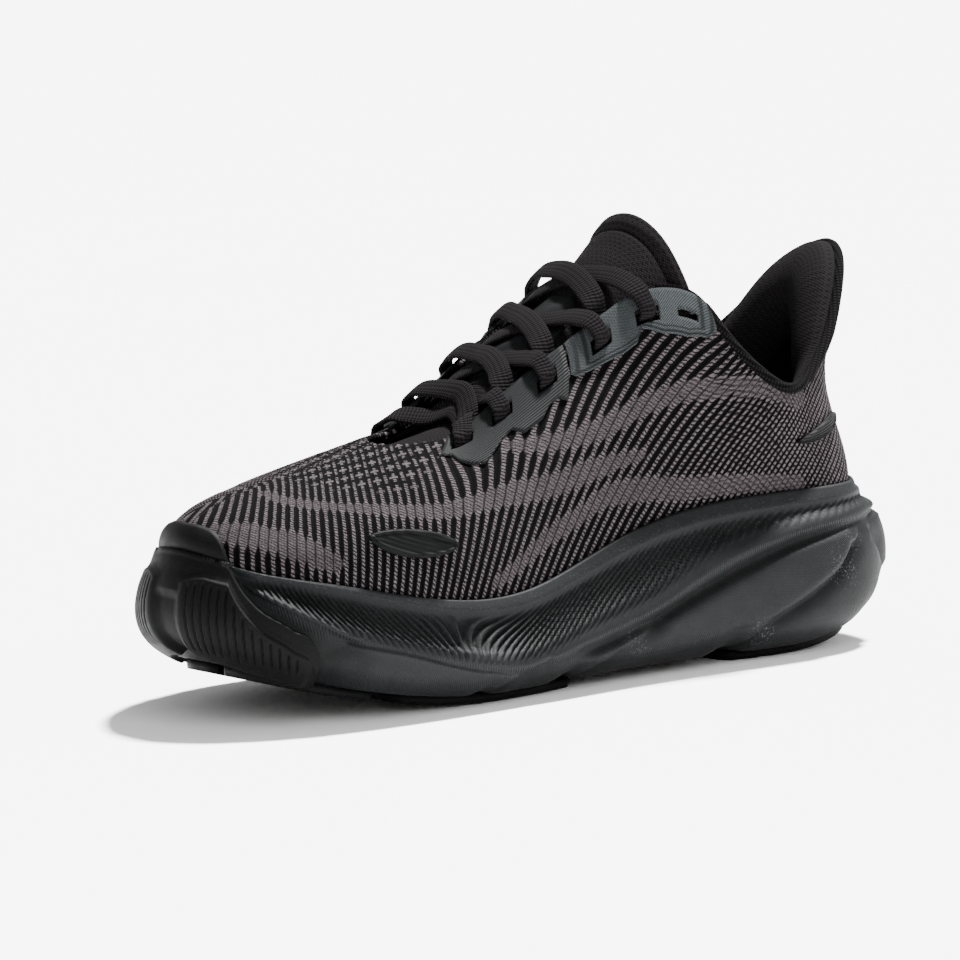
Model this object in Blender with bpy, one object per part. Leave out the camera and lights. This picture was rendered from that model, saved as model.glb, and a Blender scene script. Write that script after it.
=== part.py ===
"""A right-foot road running shoe, laced, at rest on its outsole.

Metres, +Z up, toe towards +X, the medial side of the foot towards +Y. The origin is on the ground
under the middle of the shoe. Everything is placed by two smooth surfaces: the sole's side wall and
the skin of the upper. Both are read at a station, which runs round the shoe from 0 at the toe tip
along the medial side to 8 at the heel, and back along the lateral side to 16.
"""

import math

import bpy
import numpy as np

# ---------------------------------------------------------------- driving dimensions
GAP = 0.0003                # clearance between neighbouring pieces
STATIONS = 16
MIDDLE = (0.0020, -0.0024, 0.0)  # of the whole shoe, in the coordinates of the curves below

ROCKER_TOE_START = 0.038    # the ground line is flat between these two
ROCKER_HEEL_START = -0.090
TOE_SPRING = 0.0225         # height of the ground line at the toe tip
HEEL_BEVEL = 0.0110         # and at the back of the heel
ROCKER_POWER = 1.9

RUBBER = 0.0030             # outsole rubber
BOARD = 0.0014              # lasting board
INSOLE = 0.0045             # removable sockliner
KNIT = 0.0018               # upper fabric
FILM = 0.0006               # welded eyestay film
PATCH = 0.0009              # woven eyestay patch
COUNTER = 0.0014            # heel stiffener
LINING = 0.0012             # collar lining
TOE_PUFF = 0.0009
PADDING = (0.0010, 0.0052)  # collar foam, at its thinnest and at its thickest
PADDING_HEIGHT = 0.036      # from the rim down to where it has thinned out
PADDING_TAPER = 0.9         # stations from the collar's front end to its full thickness
COLLAR_FRONT = 5.6          # station at which the padded collar starts, on both sides
TOE_CAP = 0.0016            # rubber that wraps up the toe

LIP_INSET = 0.0085          # from the widest sole line in to where the upper leaves the foam
HEEL_TUCK = 0.0062          # how much further in the foam's top edge lies at the back of the heel
HEEL_TUCK_REACH = 0.9       # stations over which that fades
FOOTBED_INSET = 0.0125      # from the widest sole line in to the edge of the footbed
FEATHER_T = -0.16           # how far the upper reaches down inside the foam cup, as a share

LACE_WIDTH = 0.0060
LACE_THICKNESS = 0.0015
SLOT_FROM_EDGE = 0.0088     # middle of an eyelet slot, from the throat edge
SLOT_HALF = 0.0026          # half the slot across the lace's thickness
TAIL_RADIUS = 0.0014
AGLET_LENGTH = 0.020
AGLET_RADIUS = 0.0016

TONGUE_DEPTH = 0.0052       # from the skin down to the tongue's face, beside the throat
TONGUE_FLAP = 0.013         # how far the tongue reaches under the upper
TONGUE_CLOTH = 0.0010
TONGUE_FOAM = (0.0022, 0.0058)  # at its sewn end and at its tip
TONGUE_GAP = 0.0006         # between the tongue's layers
OVERLAY = 0.0007

TONGUE_PIVOT = (0.0600, 0.0, 0.0780)
SOCKLINER_PIVOT = (0.1300, 0.0, 0.0390)

# ---------------------------------------------------------------- curves of the shoe
# station, x, y of the widest line of the sole
OUTLINE = (
    (0, 0.1522, 0.0080), (1, 0.1391, 0.0361), (2, 0.1100, 0.0498), (3, 0.0701, 0.0528),
    (4, 0.0278, 0.0504), (5, -0.0200, 0.0440), (6, -0.0720, 0.0427), (7, -0.1282, 0.0363),
    (8, -0.1510, 0.0000), (9, -0.1282, -0.0384), (10, -0.0720, -0.0478), (11, -0.0200, -0.0510),
    (12, 0.0280, -0.0560), (13, 0.0720, -0.0570), (14, 0.1101, -0.0481), (15, 0.1385, -0.0260),
)
# station, height of the foam's top edge
LIP_HEIGHT = (
    (0, 0.0563), (1, 0.0510), (2, 0.0453), (3, 0.0372), (4, 0.0370), (5, 0.0507), (6, 0.0574),
    (7, 0.0576), (8, 0.0583), (9, 0.0568), (10, 0.0560), (11, 0.0490), (12, 0.0385),
    (13, 0.0378), (14, 0.0455), (15, 0.0520),
)
# x, height of the footbed inside the foam cup
FOOTBED = (
    (-0.150, 0.0335), (-0.110, 0.0330), (-0.050, 0.0320), (0.020, 0.0265), (0.060, 0.0245),
    (0.100, 0.0280), (0.150, 0.0395),
)
# station, x, y, z of the rim: throat front, throat edge, collar, heel tab
RIM = (
    (0, 0.0610, 0.0000, 0.0840), (1, 0.0590, 0.0085, 0.0842), (2, 0.0490, 0.0150, 0.0850),
    (2.5, 0.0390, 0.0165, 0.0870), (3, 0.0290, 0.0180, 0.0938), (3.5, 0.0150, 0.0195, 0.1035),
    (4, 0.0000, 0.0210, 0.1128), (4.5, -0.0190, 0.0230, 0.1238), (5, -0.0370, 0.0265, 0.1303),
    (5.3, -0.0520, 0.0295, 0.1270), (5.6, -0.0620, 0.0330, 0.1150), (6, -0.0750, 0.0370, 0.1010),
    (6.4, -0.0890, 0.0385, 0.0943), (6.8, -0.1040, 0.0335, 0.1010), (7.2, -0.1165, 0.0275, 0.1110),
    (7.5, -0.1252, 0.0212, 0.1205), (7.75, -0.1345, 0.0130, 0.1325), (8, -0.1405, 0.0000, 0.1390),
    (8.25, -0.1345, -0.0135, 0.1320), (8.5, -0.1252, -0.0217, 0.1200), (8.8, -0.1165, -0.0282, 0.1105),
    (9.2, -0.1040, -0.0342, 0.1000), (9.6, -0.0890, -0.0395, 0.0925),
    (10, -0.0750, -0.0380, 0.0990), (10.4, -0.0620, -0.0335, 0.1140), (10.7, -0.0520, -0.0300, 0.1260),
    (11, -0.0370, -0.0270, 0.1293), (11.5, -0.0190, -0.0235, 0.1230), (12, 0.0000, -0.0215, 0.1120),
    (12.5, 0.0150, -0.0200, 0.1028), (13, 0.0290, -0.0182, 0.0932), (13.5, 0.0390, -0.0168, 0.0865),
    (14, 0.0490, -0.0150, 0.0850), (15, 0.0590, -0.0085, 0.0842),
)
# station, the handle with which the skin leaves the rim
RIM_HANDLE = (
    (0, 0.0400, 0.0010, -0.0120), (1, 0.0300, 0.0140, -0.0110), (2, 0.0200, 0.0180, -0.0110),
    (3, 0.0070, 0.0165, -0.0120), (4, 0.0010, 0.0145, -0.0165), (5, -0.0020, 0.0110, -0.0240),
    (6, 0.0000, 0.0020, -0.0140), (7, 0.0080, 0.0020, -0.0200), (8, 0.0240, 0.0000, -0.0300),
    (9, 0.0080, -0.0020, -0.0200), (10, 0.0000, -0.0020, -0.0140), (11, -0.0020, -0.0130, -0.0230),
    (12, 0.0010, -0.0170, -0.0160), (13, 0.0070, -0.0185, -0.0120), (14, 0.0200, -0.0190, -0.0110),
    (15, 0.0300, -0.0140, -0.0110),
)
# station, rise and outward lean with which the skin leaves the foam
LIP_HANDLE = (
    (0, 0.0180, 0.0035), (1, 0.0170, 0.0030), (2, 0.0190, 0.0035), (3, 0.0200, 0.0015),
    (4, 0.0240, -0.0010), (5, 0.0260, -0.0010), (6, 0.0150, 0.0000), (7, 0.0180, -0.0020),
    (8, 0.0220, 0.0030), (9, 0.0180, -0.0020), (10, 0.0150, 0.0000), (11, 0.0260, -0.0020),
    (12, 0.0240, -0.0030), (13, 0.0200, 0.0010), (14, 0.0190, 0.0030), (15, 0.0170, 0.0030),
)
# x, z of the tongue's face along its middle, from its sewn end to its tip
TONGUE_LINE = (
    (0.0640, 0.0785), (0.0480, 0.0850), (0.0240, 0.0985), (0.0000, 0.1135), (-0.0180, 0.1260),
    (-0.0340, 0.1395), (-0.0500, 0.1520),
)
SLOT_STATIONS = (2.58, 3.18, 3.76, 4.36, 4.86)  # the rows of eyelet slots
SLOT_HALVES = (0.180, 0.130, 0.124, 0.102, 0.118)  # half a slot along the throat edge, in stations
SPARE_SLOT = 5.20           # the extra eyelet near the collar, with no lace in it
SPARE_HALF = 0.080

COLOURS = {
    "foam": ((0.030, 0.033, 0.035), 0.62),
    "rubber": ((0.014, 0.014, 0.015), 0.55),
    "knit": ((0.040, 0.035, 0.036), 0.90),
    "film": ((0.075, 0.078, 0.080), 0.50),
    "woven": ((0.110, 0.125, 0.130), 0.80),
    "lining": ((0.012, 0.011, 0.012), 0.95),
    "lace": ((0.022, 0.020, 0.021), 0.90),
    "padding": ((0.120, 0.120, 0.125), 0.95),
    "board": ((0.300, 0.290, 0.270), 0.90),
    "stiffener": ((0.180, 0.180, 0.185), 0.60),
    "aglet": ((0.010, 0.010, 0.011), 0.30),
}


# ---------------------------------------------------------------- small maths
def loop_curve(rows):
    """A smooth closed curve through rows of (station, values); returns a function of the station."""
    table = np.array(rows, float)
    knots, values = table[:, 0], table[:, 1:]
    count = len(knots)
    gaps = np.diff(np.append(knots, knots[0] + STATIONS))
    slopes = (np.roll(values, -1, 0) - values) / gaps[:, None]
    matrix = np.zeros((count, count))
    right = np.zeros_like(values)
    for i in range(count):
        before = gaps[i - 1]
        matrix[i, i - 1] += before
        matrix[i, i] += 2 * (before + gaps[i])
        matrix[i, (i + 1) % count] += gaps[i]
        right[i] = 6 * (slopes[i] - slopes[i - 1])
    bends = np.linalg.solve(matrix, right)

    def at(station):
        s = np.mod(np.asarray(station, float) - knots[0], STATIONS) + knots[0]
        i = np.clip(np.searchsorted(knots, s, side="right") - 1, 0, count - 1)
        j = (i + 1) % count
        h = gaps[i][..., None]
        a = (s - knots[i])[..., None]
        b = h - a
        return (
            (bends[i] * b**3 + bends[j] * a**3) / (6 * h)
            + (values[i] / h - bends[i] * h / 6) * b
            + (values[j] / h - bends[j] * h / 6) * a
        )

    return at


outline_at = loop_curve(OUTLINE)
lip_height_at = loop_curve(LIP_HEIGHT)
rim_at = loop_curve(RIM)
rim_handle_at = loop_curve(RIM_HANDLE)
lip_handle_at = loop_curve(LIP_HANDLE)


def smooth_interp(x, rows):
    """A smooth open curve y(x) through rows of (x, y), by cubic Hermite pieces."""
    table = np.array(rows, float)
    xs, ys = table[:, 0], table[:, 1:]
    order = np.argsort(xs)
    xs, ys = xs[order], ys[order]
    slopes = np.gradient(ys, xs, axis=0)
    x = np.asarray(x, float)
    i = np.clip(np.searchsorted(xs, x) - 1, 0, len(xs) - 2)
    h = (xs[i + 1] - xs[i])[..., None]
    f = np.clip((x - xs[i])[..., None] / h, -0.5, 1.5)
    return (
        (2 * f**3 - 3 * f**2 + 1) * ys[i]
        + (f**3 - 2 * f**2 + f) * h * slopes[i]
        + (3 * f**2 - 2 * f**3) * ys[i + 1]
        + (f**3 - f**2) * h * slopes[i + 1]
    )


def unit(v):
    return v / np.maximum(np.linalg.norm(v, axis=-1, keepdims=True), 1e-12)


def ground(x):
    """Height of the ground line of the rockered sole."""
    toe = np.clip((x - ROCKER_TOE_START) / (0.1525 - ROCKER_TOE_START), 0, None)
    heel = np.clip((ROCKER_HEEL_START - x) / (0.1525 + ROCKER_HEEL_START), 0, None)
    return TOE_SPRING * toe**ROCKER_POWER + HEEL_BEVEL * heel**ROCKER_POWER


def footbed(x):
    return smooth_interp(x, FOOTBED)[..., 0]


def outward(station):
    """Horizontal unit normal of the sole's outline, pointing out."""
    step = 0.02
    tangent = outline_at(station + step) - outline_at(station - step)
    return unit(np.stack([tangent[..., 1], -tangent[..., 0]], -1))


def inset_point(station, inset, height):
    """A point inset from the outline, at a height that may depend on its x."""
    plan = outline_at(station) - outward(station) * np.asarray(inset)[..., None]
    z = height(plan[..., 0]) if callable(height) else np.broadcast_to(height, plan.shape[:-1])
    return np.concatenate([plan, np.asarray(z)[..., None]], -1)


def heel_tuck(station):
    return HEEL_TUCK * np.exp(-(((np.mod(station, STATIONS) - 8) / HEEL_TUCK_REACH) ** 2))


def lip_point(station):
    return inset_point(station, LIP_INSET + GAP + heel_tuck(station), lip_height_at(station)[..., 0])


def feather_point(station):
    inset = FOOTBED_INSET + GAP + heel_tuck(station)
    return inset_point(station, inset, lambda x: footbed(x) + GAP)


SKIN_STEPS = np.linspace(0, 1, 49)


def skin_column(station):
    """Points up one column of the skin, from the foam's lip to the rim, and their running length."""
    station = np.asarray(float(station))
    lip, rim = lip_point(station), rim_at(station)
    rise, lean = lip_handle_at(station)
    out = outward(station)
    first = lip + np.array([out[0] * lean, out[1] * lean, rise])
    last = rim + rim_handle_at(station)
    s = SKIN_STEPS[:, None]
    points = (1 - s) ** 3 * lip + 3 * s * (1 - s) ** 2 * first + 3 * s**2 * (1 - s) * last + s**3 * rim
    run = np.concatenate([[0], np.cumsum(np.linalg.norm(np.diff(points, axis=0), axis=1))])
    return points, run


def skin(stations, shares):
    """Grid of skin points: one row per station; shares is 1-D, or one row for each station.

    Share 0 is where the upper leaves the foam, 1 is the rim, and below 0 it goes down inside the foam cup.
    """
    stations = np.atleast_1d(stations)
    shares = np.broadcast_to(shares, (len(stations), np.shape(shares)[-1]))
    grid = np.empty(shares.shape + (3,))
    for i, station in enumerate(stations):
        points, run = skin_column(station)
        for k in range(3):
            grid[i, :, k] = np.interp(shares[i] * run[-1], run, points[:, k])
        below = shares[i] < 0
        if below.any():
            drop = feather_point(np.asarray(float(station))) - points[0]
            grid[i, below] = points[0] + drop * (shares[i][below] / FEATHER_T)[:, None]
    return grid


def share_from_rim(stations, distance):
    """The share that lies this far down the skin from the rim, in metres."""
    lengths = np.array([skin_column(s)[1][-1] for s in np.atleast_1d(stations)])
    return 1 - np.asarray(distance) / lengths


def grid_normals(grid, wrap=False):
    if wrap:
        along = np.roll(grid, -1, 0) - np.roll(grid, 1, 0)
    else:
        along = np.gradient(grid, axis=0)
    return unit(np.cross(along, np.gradient(grid, axis=1)))


def sunk(grid, depth, wrap=False):
    """The grid moved into the shoe by a depth, or out of it where that is negative."""
    rising = 1.0 if grid[:, -1, 2].mean() > grid[:, 0, 2].mean() else -1.0
    return grid - grid_normals(grid, wrap) * rising * np.asarray(depth)[..., None]


# ---------------------------------------------------------------- mesh building
def material(slot):
    found = bpy.data.materials.get(slot)
    if found:
        return found
    colour, roughness = COLOURS[slot]
    made = bpy.data.materials.new(slot)
    made.use_nodes = True
    shader = made.node_tree.nodes["Principled BSDF"]
    shader.inputs["Base Color"].default_value = (*colour, 1)
    shader.inputs["Roughness"].default_value = roughness
    shader.inputs["Metallic"].default_value = 0.0
    return made


def add_object(name, points, faces, slot, pivot=None):
    """A named mesh object with its faces turned outwards; pivot names the empty that it moves with."""
    points = np.asarray(points, float).reshape(-1, 3)
    used = sorted({i for face in faces for i in face})
    renumber = {old: new for new, old in enumerate(used)}
    faces = [[renumber[i] for i in face] for face in faces]
    points = points[used]
    volume = 0.0
    for face in faces:
        a = points[face[0]]
        for b, c in zip(face[1:-1], face[2:]):
            volume += np.dot(a, np.cross(points[b], points[c]))
    if volume < 0:
        faces = [face[::-1] for face in faces]
    origin = np.array(pivot.location) if pivot else np.zeros(3)
    mesh = bpy.data.meshes.new(name)
    mesh.from_pydata((points - origin).tolist(), [], faces)
    mesh.validate()
    mesh.shade_smooth()
    mesh.set_sharp_from_angle(angle=math.radians(40))
    mesh.materials.append(material(slot))
    obj = bpy.data.objects.new(name, mesh)
    bpy.context.scene.collection.objects.link(obj)
    if pivot:
        obj.parent = pivot
    return obj


def thick_grid(name, outer, inner, slot, keep=None, wrap=False, pivot=None):
    """The solid between two matching grids of points. Cells where keep is False are left open."""
    rows, columns = outer.shape[:2]
    cell_rows = rows if wrap else rows - 1
    if keep is None:
        keep = np.ones((cell_rows, columns - 1), bool)
    points = np.concatenate([outer.reshape(-1, 3), inner.reshape(-1, 3)])
    shift = rows * columns

    def kept(i, j):
        if wrap:
            i %= rows
        elif not 0 <= i < cell_rows:
            return False
        return 0 <= j < columns - 1 and keep[i, j]

    def corner(i, j):
        return (i % rows) * columns + j

    faces = []
    for i in range(cell_rows):
        for j in range(columns - 1):
            if not keep[i, j]:
                continue
            a, b, c, d = corner(i, j), corner(i + 1, j), corner(i + 1, j + 1), corner(i, j + 1)
            faces.append([a, b, c, d])
            faces.append([d + shift, c + shift, b + shift, a + shift])
            sides = (((i, j - 1), a, b), ((i + 1, j), b, c), ((i, j + 1), c, d), ((i - 1, j), d, a))
            for (ni, nj), p, q in sides:
                if not kept(ni, nj):
                    faces.append([q, p, p + shift, q + shift])
    return add_object(name, points, faces, slot, pivot)


def stacked_loops(name, loops, slot, pivot=None):
    """A solid from closed loops stacked one on the next, its first and last loop filled straight across."""
    count = len(loops[0])
    points = np.concatenate(loops)
    faces = []
    for level in range(len(loops) - 1):
        base = level * count
        for i in range(count):
            j = (i + 1) % count
            faces.append([base + i, base + j, base + count + j, base + count + i])

    def ladder(base, flip):
        half = count // 2
        rungs = [[base, base + 1, base + count - 1]]
        for i in range(1, half - 1):
            rungs.append([base + i, base + i + 1, base + count - i - 1, base + count - i])
        rungs.append([base + half - 1, base + half, base + half + 1])
        return [rung[::-1] for rung in rungs] if flip else rungs

    faces += ladder(0, True)
    faces += ladder((len(loops) - 1) * count, False)
    return add_object(name, points, faces, slot, pivot)


def ribbon(name, path, across, width, thickness, slot, pivot=None):
    """A flat strap along a path; across gives the direction of its width at each point."""
    tangent = unit(np.gradient(path, axis=0))
    across = unit(across - (across * tangent).sum(1, keepdims=True) * tangent)
    up = np.cross(across, tangent)
    lower = ((-0.5, -0.25), (-0.3, -0.5), (0.3, -0.5), (0.5, -0.25))
    corners = lower + tuple((-a, -b) for a, b in lower)
    rings = [path + across * width * a + up * thickness * b for a, b in corners]
    points = np.stack(rings, 1).reshape(-1, 3)
    sides, count = len(corners), len(path)
    faces = [list(range(sides))[::-1], [(count - 1) * sides + k for k in range(sides)]]
    for i in range(count - 1):
        for k in range(sides):
            m = (k + 1) % sides
            faces.append([i * sides + k, i * sides + m, (i + 1) * sides + m, (i + 1) * sides + k])
    return add_object(name, points, faces, slot, pivot)


def smooth_path(points, spacing):
    """Evenly spaced points on a smooth curve through the given ones; extra columns are carried along."""
    points = np.asarray(points, float)
    run = np.concatenate([[0], np.cumsum(np.linalg.norm(np.diff(points[:, :3], axis=0), axis=1) ** 0.5)])
    fine = np.linspace(0, run[-1], 40 * len(points))
    rows = np.concatenate([run[:, None], points], 1)
    curve = smooth_interp(fine, rows)
    length = np.concatenate([[0], np.cumsum(np.linalg.norm(np.diff(curve[:, :3], axis=0), axis=1))])
    count = max(2, int(round(length[-1] / spacing)) + 1)
    even = np.linspace(0, length[-1], count)
    return np.stack([np.interp(even, length, curve[:, k]) for k in range(curve.shape[1])], 1)


# ---------------------------------------------------------------- PIECES
BASE_STATIONS = np.arange(56) * STATIONS / 56
EDGE_DISTANCES = (0.0, 0.0036, SLOT_FROM_EDGE - SLOT_HALF, SLOT_FROM_EDGE + SLOT_HALF, 0.0160, 0.0205)
BODY_SHARES = (0.80, 0.60, 0.43, 0.29, 0.17, 0.07, 0.0)  # below the slots, of the share that is left
LAYER_GAP = 0.0005


def upper_stations():
    """The base stations, with the edges of every slot added and crowding neighbours dropped."""
    slots = list(SLOT_STATIONS) + [SPARE_SLOT]
    slots += [STATIONS - s for s in slots]
    edges = [s + side * half_slot(s) for s in slots for side in (-1, 1)]
    base = [s for s in BASE_STATIONS if min(abs(s - e) for e in edges) > 0.07]
    base = [s for s in base if all(abs(s - slot) > half_slot(slot) for slot in slots)]
    return np.array(sorted(base + edges))


def half_slot(station):
    medial = min(station, STATIONS - station)
    return dict(zip(SLOT_STATIONS + (SPARE_SLOT,), SLOT_HALVES + (SPARE_HALF,)))[round(medial, 6)]


def edge_shares(stations, distances):
    """Shares at fixed distances down from the rim, one row per station."""
    return np.stack([share_from_rim(stations, d) for d in distances], 1)


def in_slot(stations, i):
    """Whether the strip of cells between stations i and i + 1 holds a slot."""
    middle = (stations[i] + stations[(i + 1) % len(stations)]) / 2
    slots = list(SLOT_STATIONS) + [SPARE_SLOT]
    return any(abs(middle - s) < 0.02 or abs(STATIONS - middle - s) < 0.02 for s in slots)


def slots_left_open(stations, columns, slot_column, rows):
    keep = np.ones((rows, columns - 1), bool)
    for i in range(rows):
        if in_slot(stations, i):
            keep[i, slot_column] = False
    return keep


def sole_loop(inset, height):
    return inset_point(BASE_STATIONS, inset + heel_tuck(BASE_STATIONS), height)


def foam_underside(x):
    return ground(x) + RUBBER + GAP


def side_wall(stations):
    """The foam's side from its bottom edge up to its lip: rings of (inset, height)."""
    lip = lip_height_at(stations)[..., 0]
    rings = []
    for inset, from_ground, below_lip, tuck in (
        (0.0110, 0.0, None, 0.0), (0.0040, 0.0050, None, 0.0), (0.0, 0.0150, None, 0.0),
        (0.0035, None, 0.0105, 0.45), (0.0065, None, 0.0035, 0.9), (0.0075, None, 0.0, 1.0),
    ):
        plan = inset_point(stations, inset + tuck * heel_tuck(stations), 0.0)
        plan[:, 2] = foam_underside(plan[:, 0]) + from_ground if below_lip is None else lip - below_lip
        rings.append(plan)
    return rings


def add_midsole():
    lip = lip_height_at(BASE_STATIONS)[..., 0]
    edge = sole_loop(LIP_INSET, 0.0)
    edge[:, 2] = lip
    floor = sole_loop(FOOTBED_INSET, footbed)
    stacked_loops("midsole", side_wall(BASE_STATIONS) + [edge, floor], "foam")


def sole_edge(x, medial):
    """y of the sole's bottom edge at x."""
    stations = np.linspace(0.2, 7.8, 120) if medial else np.linspace(15.8, 8.2, 120)
    plan = inset_point(stations, np.full(len(stations), 0.0135), 0.0)
    return np.interp(x, plan[::-1, 0], plan[::-1, 1])


def add_pod(name, x_from, x_to, v_from, v_to, cells_x, cells_y):
    """A rubber pod under the foam; v runs from -1 at the lateral edge to 1 at the medial edge."""
    u = np.linspace(-1, 1, cells_x + 1)
    w = np.linspace(-1, 1, cells_y + 1)
    x = (x_from + x_to) / 2 + u[:, None] * (x_to - x_from) / 2 * (1 - 0.10 * np.abs(w[None, :]) ** 4)
    v = (v_from + v_to) / 2 + w[None, :] * (v_to - v_from) / 2 * (1 - 0.12 * np.abs(u[:, None]) ** 5)
    lateral, medial = sole_edge(x, False), sole_edge(x, True)
    y = lateral + (medial - lateral) * (v + 1) / 2
    bottom = np.stack([x, y, ground(x)], -1)
    top = np.stack([x, y, ground(x) + RUBBER], -1)
    thick_grid(name, bottom, top, "rubber")


def add_outsole():
    add_pod("pod_forefoot_medial", 0.004, 0.083, 0.36, 1.0, 8, 3)
    add_pod("pod_forefoot_lateral", -0.006, 0.078, -1.0, -0.36, 8, 3)
    add_pod("pod_forefoot_center", 0.012, 0.082, -0.28, 0.28, 7, 3)
    add_pod("pod_toe_medial", 0.089, 0.132, 0.08, 0.96, 5, 3)
    add_pod("pod_toe_lateral", 0.086, 0.130, -0.96, -0.08, 5, 3)
    add_pod("pod_heel_medial", -0.137, -0.066, 0.10, 0.98, 7, 3)
    add_pod("pod_heel_lateral", -0.138, -0.058, -0.98, -0.10, 8, 3)


def add_toe_cap():
    """Rubber that wraps from under the toe over the front of the foam and on to the upper."""
    count = 6
    stations = np.arange(-count, count + 1) * STATIONS / len(BASE_STATIONS)
    rings = side_wall(stations)
    arch = 0.03 + 0.19 * np.cos(stations / stations[-1] * math.pi / 2)
    above = skin(stations, np.stack([np.full(len(stations), 0.012), 0.35 * arch, arch], 1))
    lip_ring = rings[-1]
    grid = np.stack(rings[:-1] + [lip_ring] + [above[:, k] for k in range(3)], 1)
    out = grid_normals(grid)
    if out[count, 2, 0] < 0:
        out = -out
    thick_grid("toe_cap", grid + out * (2.4 * LAYER_GAP + TOE_CAP), grid + out * 2.4 * LAYER_GAP, "rubber")


def add_footbed():
    edge = FOOTBED_INSET + KNIT + 0.0011
    bottom = GAP + BOARD + GAP

    def loops(rings):
        return [sole_loop(edge + extra, lambda x, z=z: footbed(x) + z) for extra, z in rings]

    stacked_loops("lasting_board", loops(((0.0, GAP), (0.0, GAP + BOARD))), "board")
    top = bottom + INSOLE
    rings = ((0.0006, bottom), (0.0, bottom + 0.5 * INSOLE), (0.0006, top), (0.0050, top))
    stacked_loops("sockliner", loops(rings), "lining", add_pivot("sockliner_pivot", SOCKLINER_PIVOT))


def add_pivot(name, location):
    pivot = bpy.data.objects.new(name, None)
    pivot.location = location
    bpy.context.scene.collection.objects.link(pivot)
    bpy.context.view_layer.update()
    return pivot


def add_upper():
    stations = upper_stations()
    near = edge_shares(stations, EDGE_DISTANCES)
    lowest = near[:, -1:]
    rest = lowest * np.array(BODY_SHARES)
    shares = np.concatenate([near, rest, np.full((len(stations), 1), FEATHER_T)], 1)
    grid = skin(stations, shares)
    slot_column = EDGE_DISTANCES.index(SLOT_FROM_EDGE - SLOT_HALF)
    keep = slots_left_open(stations, grid.shape[1], slot_column, len(stations))
    inner = sunk(grid, np.full(grid.shape[:2], KNIT), wrap=True)
    thick_grid("upper", grid, inner, "knit", keep, wrap=True)


def layer(name, stations, shares, depth, thickness, slot, keep=None):
    """A sheet that follows the skin at a depth; a negative depth lies outside it."""
    grid = skin(stations, shares)
    shape = grid.shape[:2]
    depth = np.broadcast_to(depth, shape)
    thickness = np.broadcast_to(thickness, shape)
    thick_grid(name, sunk(grid, depth), sunk(grid, depth + thickness), slot, keep)


def padding_thickness(stations, distances):
    """Collar foam: full in the middle of its height, thinner where it ends and up the heel tab."""
    from_front = 8 - np.abs(np.asarray(stations)[:, None] - 8) - COLLAR_FRONT
    around = np.clip(from_front / PADDING_TAPER, 0, 1)
    down = np.sin(np.clip(np.asarray(distances)[None, :] / PADDING_HEIGHT, 0, 1) * math.pi) ** 0.7
    return PADDING[0] + (PADDING[1] - PADDING[0]) * around * down


def add_collar():
    step = STATIONS / len(BASE_STATIONS)
    stations = BASE_STATIONS[np.abs(BASE_STATIONS - 8) < 8 - COLLAR_FRONT - step]
    distances = np.array([0.0022, 0.0090, 0.0160, 0.0230, 0.0300, 0.0345])
    counter_depth = KNIT + LAYER_GAP
    padding_depth = counter_depth + COUNTER + LAYER_GAP
    thick = padding_thickness(stations, distances)
    layer("collar_padding", stations, edge_shares(stations, distances), padding_depth, thick, "padding")
    wide = np.concatenate([[stations[0] - step], stations, [stations[-1] + step]])
    near = edge_shares(wide, distances)
    shares = np.concatenate([near, near[:, -1:] * 0.5, np.full((len(wide), 1), 0.03)], 1)
    thick = padding_thickness(wide, np.append(distances, (0.04, 0.04)))
    layer("collar_lining", wide, shares, padding_depth + thick + 2 * LAYER_GAP, LINING, "lining")
    heel = BASE_STATIONS[(BASE_STATIONS > 6.5) & (BASE_STATIONS < 9.5)]
    layer("heel_counter", heel, np.linspace(-0.05, 0.52, 6), counter_depth, COUNTER, "stiffener")
    toe = np.arange(-6, 7) * step
    lowest = edge_shares(toe, EDGE_DISTANCES[-1:])
    layer("toe_puff", toe, lowest * BODY_SHARES[2:-1], counter_depth, TOE_PUFF, "stiffener")


def add_eyestays():
    """Welded film over the lower slots and a woven patch over the upper ones, on both sides."""
    every = upper_stations()
    distances = np.array((0.0006,) + EDGE_DISTANCES[1:] + (0.0260,))
    slot_column = EDGE_DISTANCES.index(SLOT_FROM_EDGE - SLOT_HALF)
    for side in ("medial", "lateral"):
        at = every if side == "medial" else np.sort(STATIONS - every[every > 8])
        film = at[(at > 2.25) & (at < 4.0)]
        woven = at[(at > 4.02) & (at < 5.5)]
        for name, chosen, thickness in (("film", film, FILM), ("woven", woven, PATCH)):
            rows = len(chosen) - 1
            keep = slots_left_open(chosen, len(distances), slot_column, rows)
            middles = (chosen[1:] + chosen[:-1]) / 2
            for i, m in enumerate(middles):
                if name == "film":
                    tooth = min(abs(m - s) for s in (2.75, 3.30, 3.86)) > 0.16
                    keep[i, -1] = False
                    keep[i, -2] = not tooth
                else:
                    keep[i, -1] = m < 4.55
                    keep[i, -2] = m < 5.0
                    keep[i, -3] = m < 5.4
            flip = chosen if side == "medial" else (STATIONS - chosen)[::-1]
            keep = keep if side == "medial" else keep[::-1]
            layer(
                f"eyestay_{name}_{side}", flip, edge_shares(flip, distances),
                -LAYER_GAP, -thickness, name, keep,
            )


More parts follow.
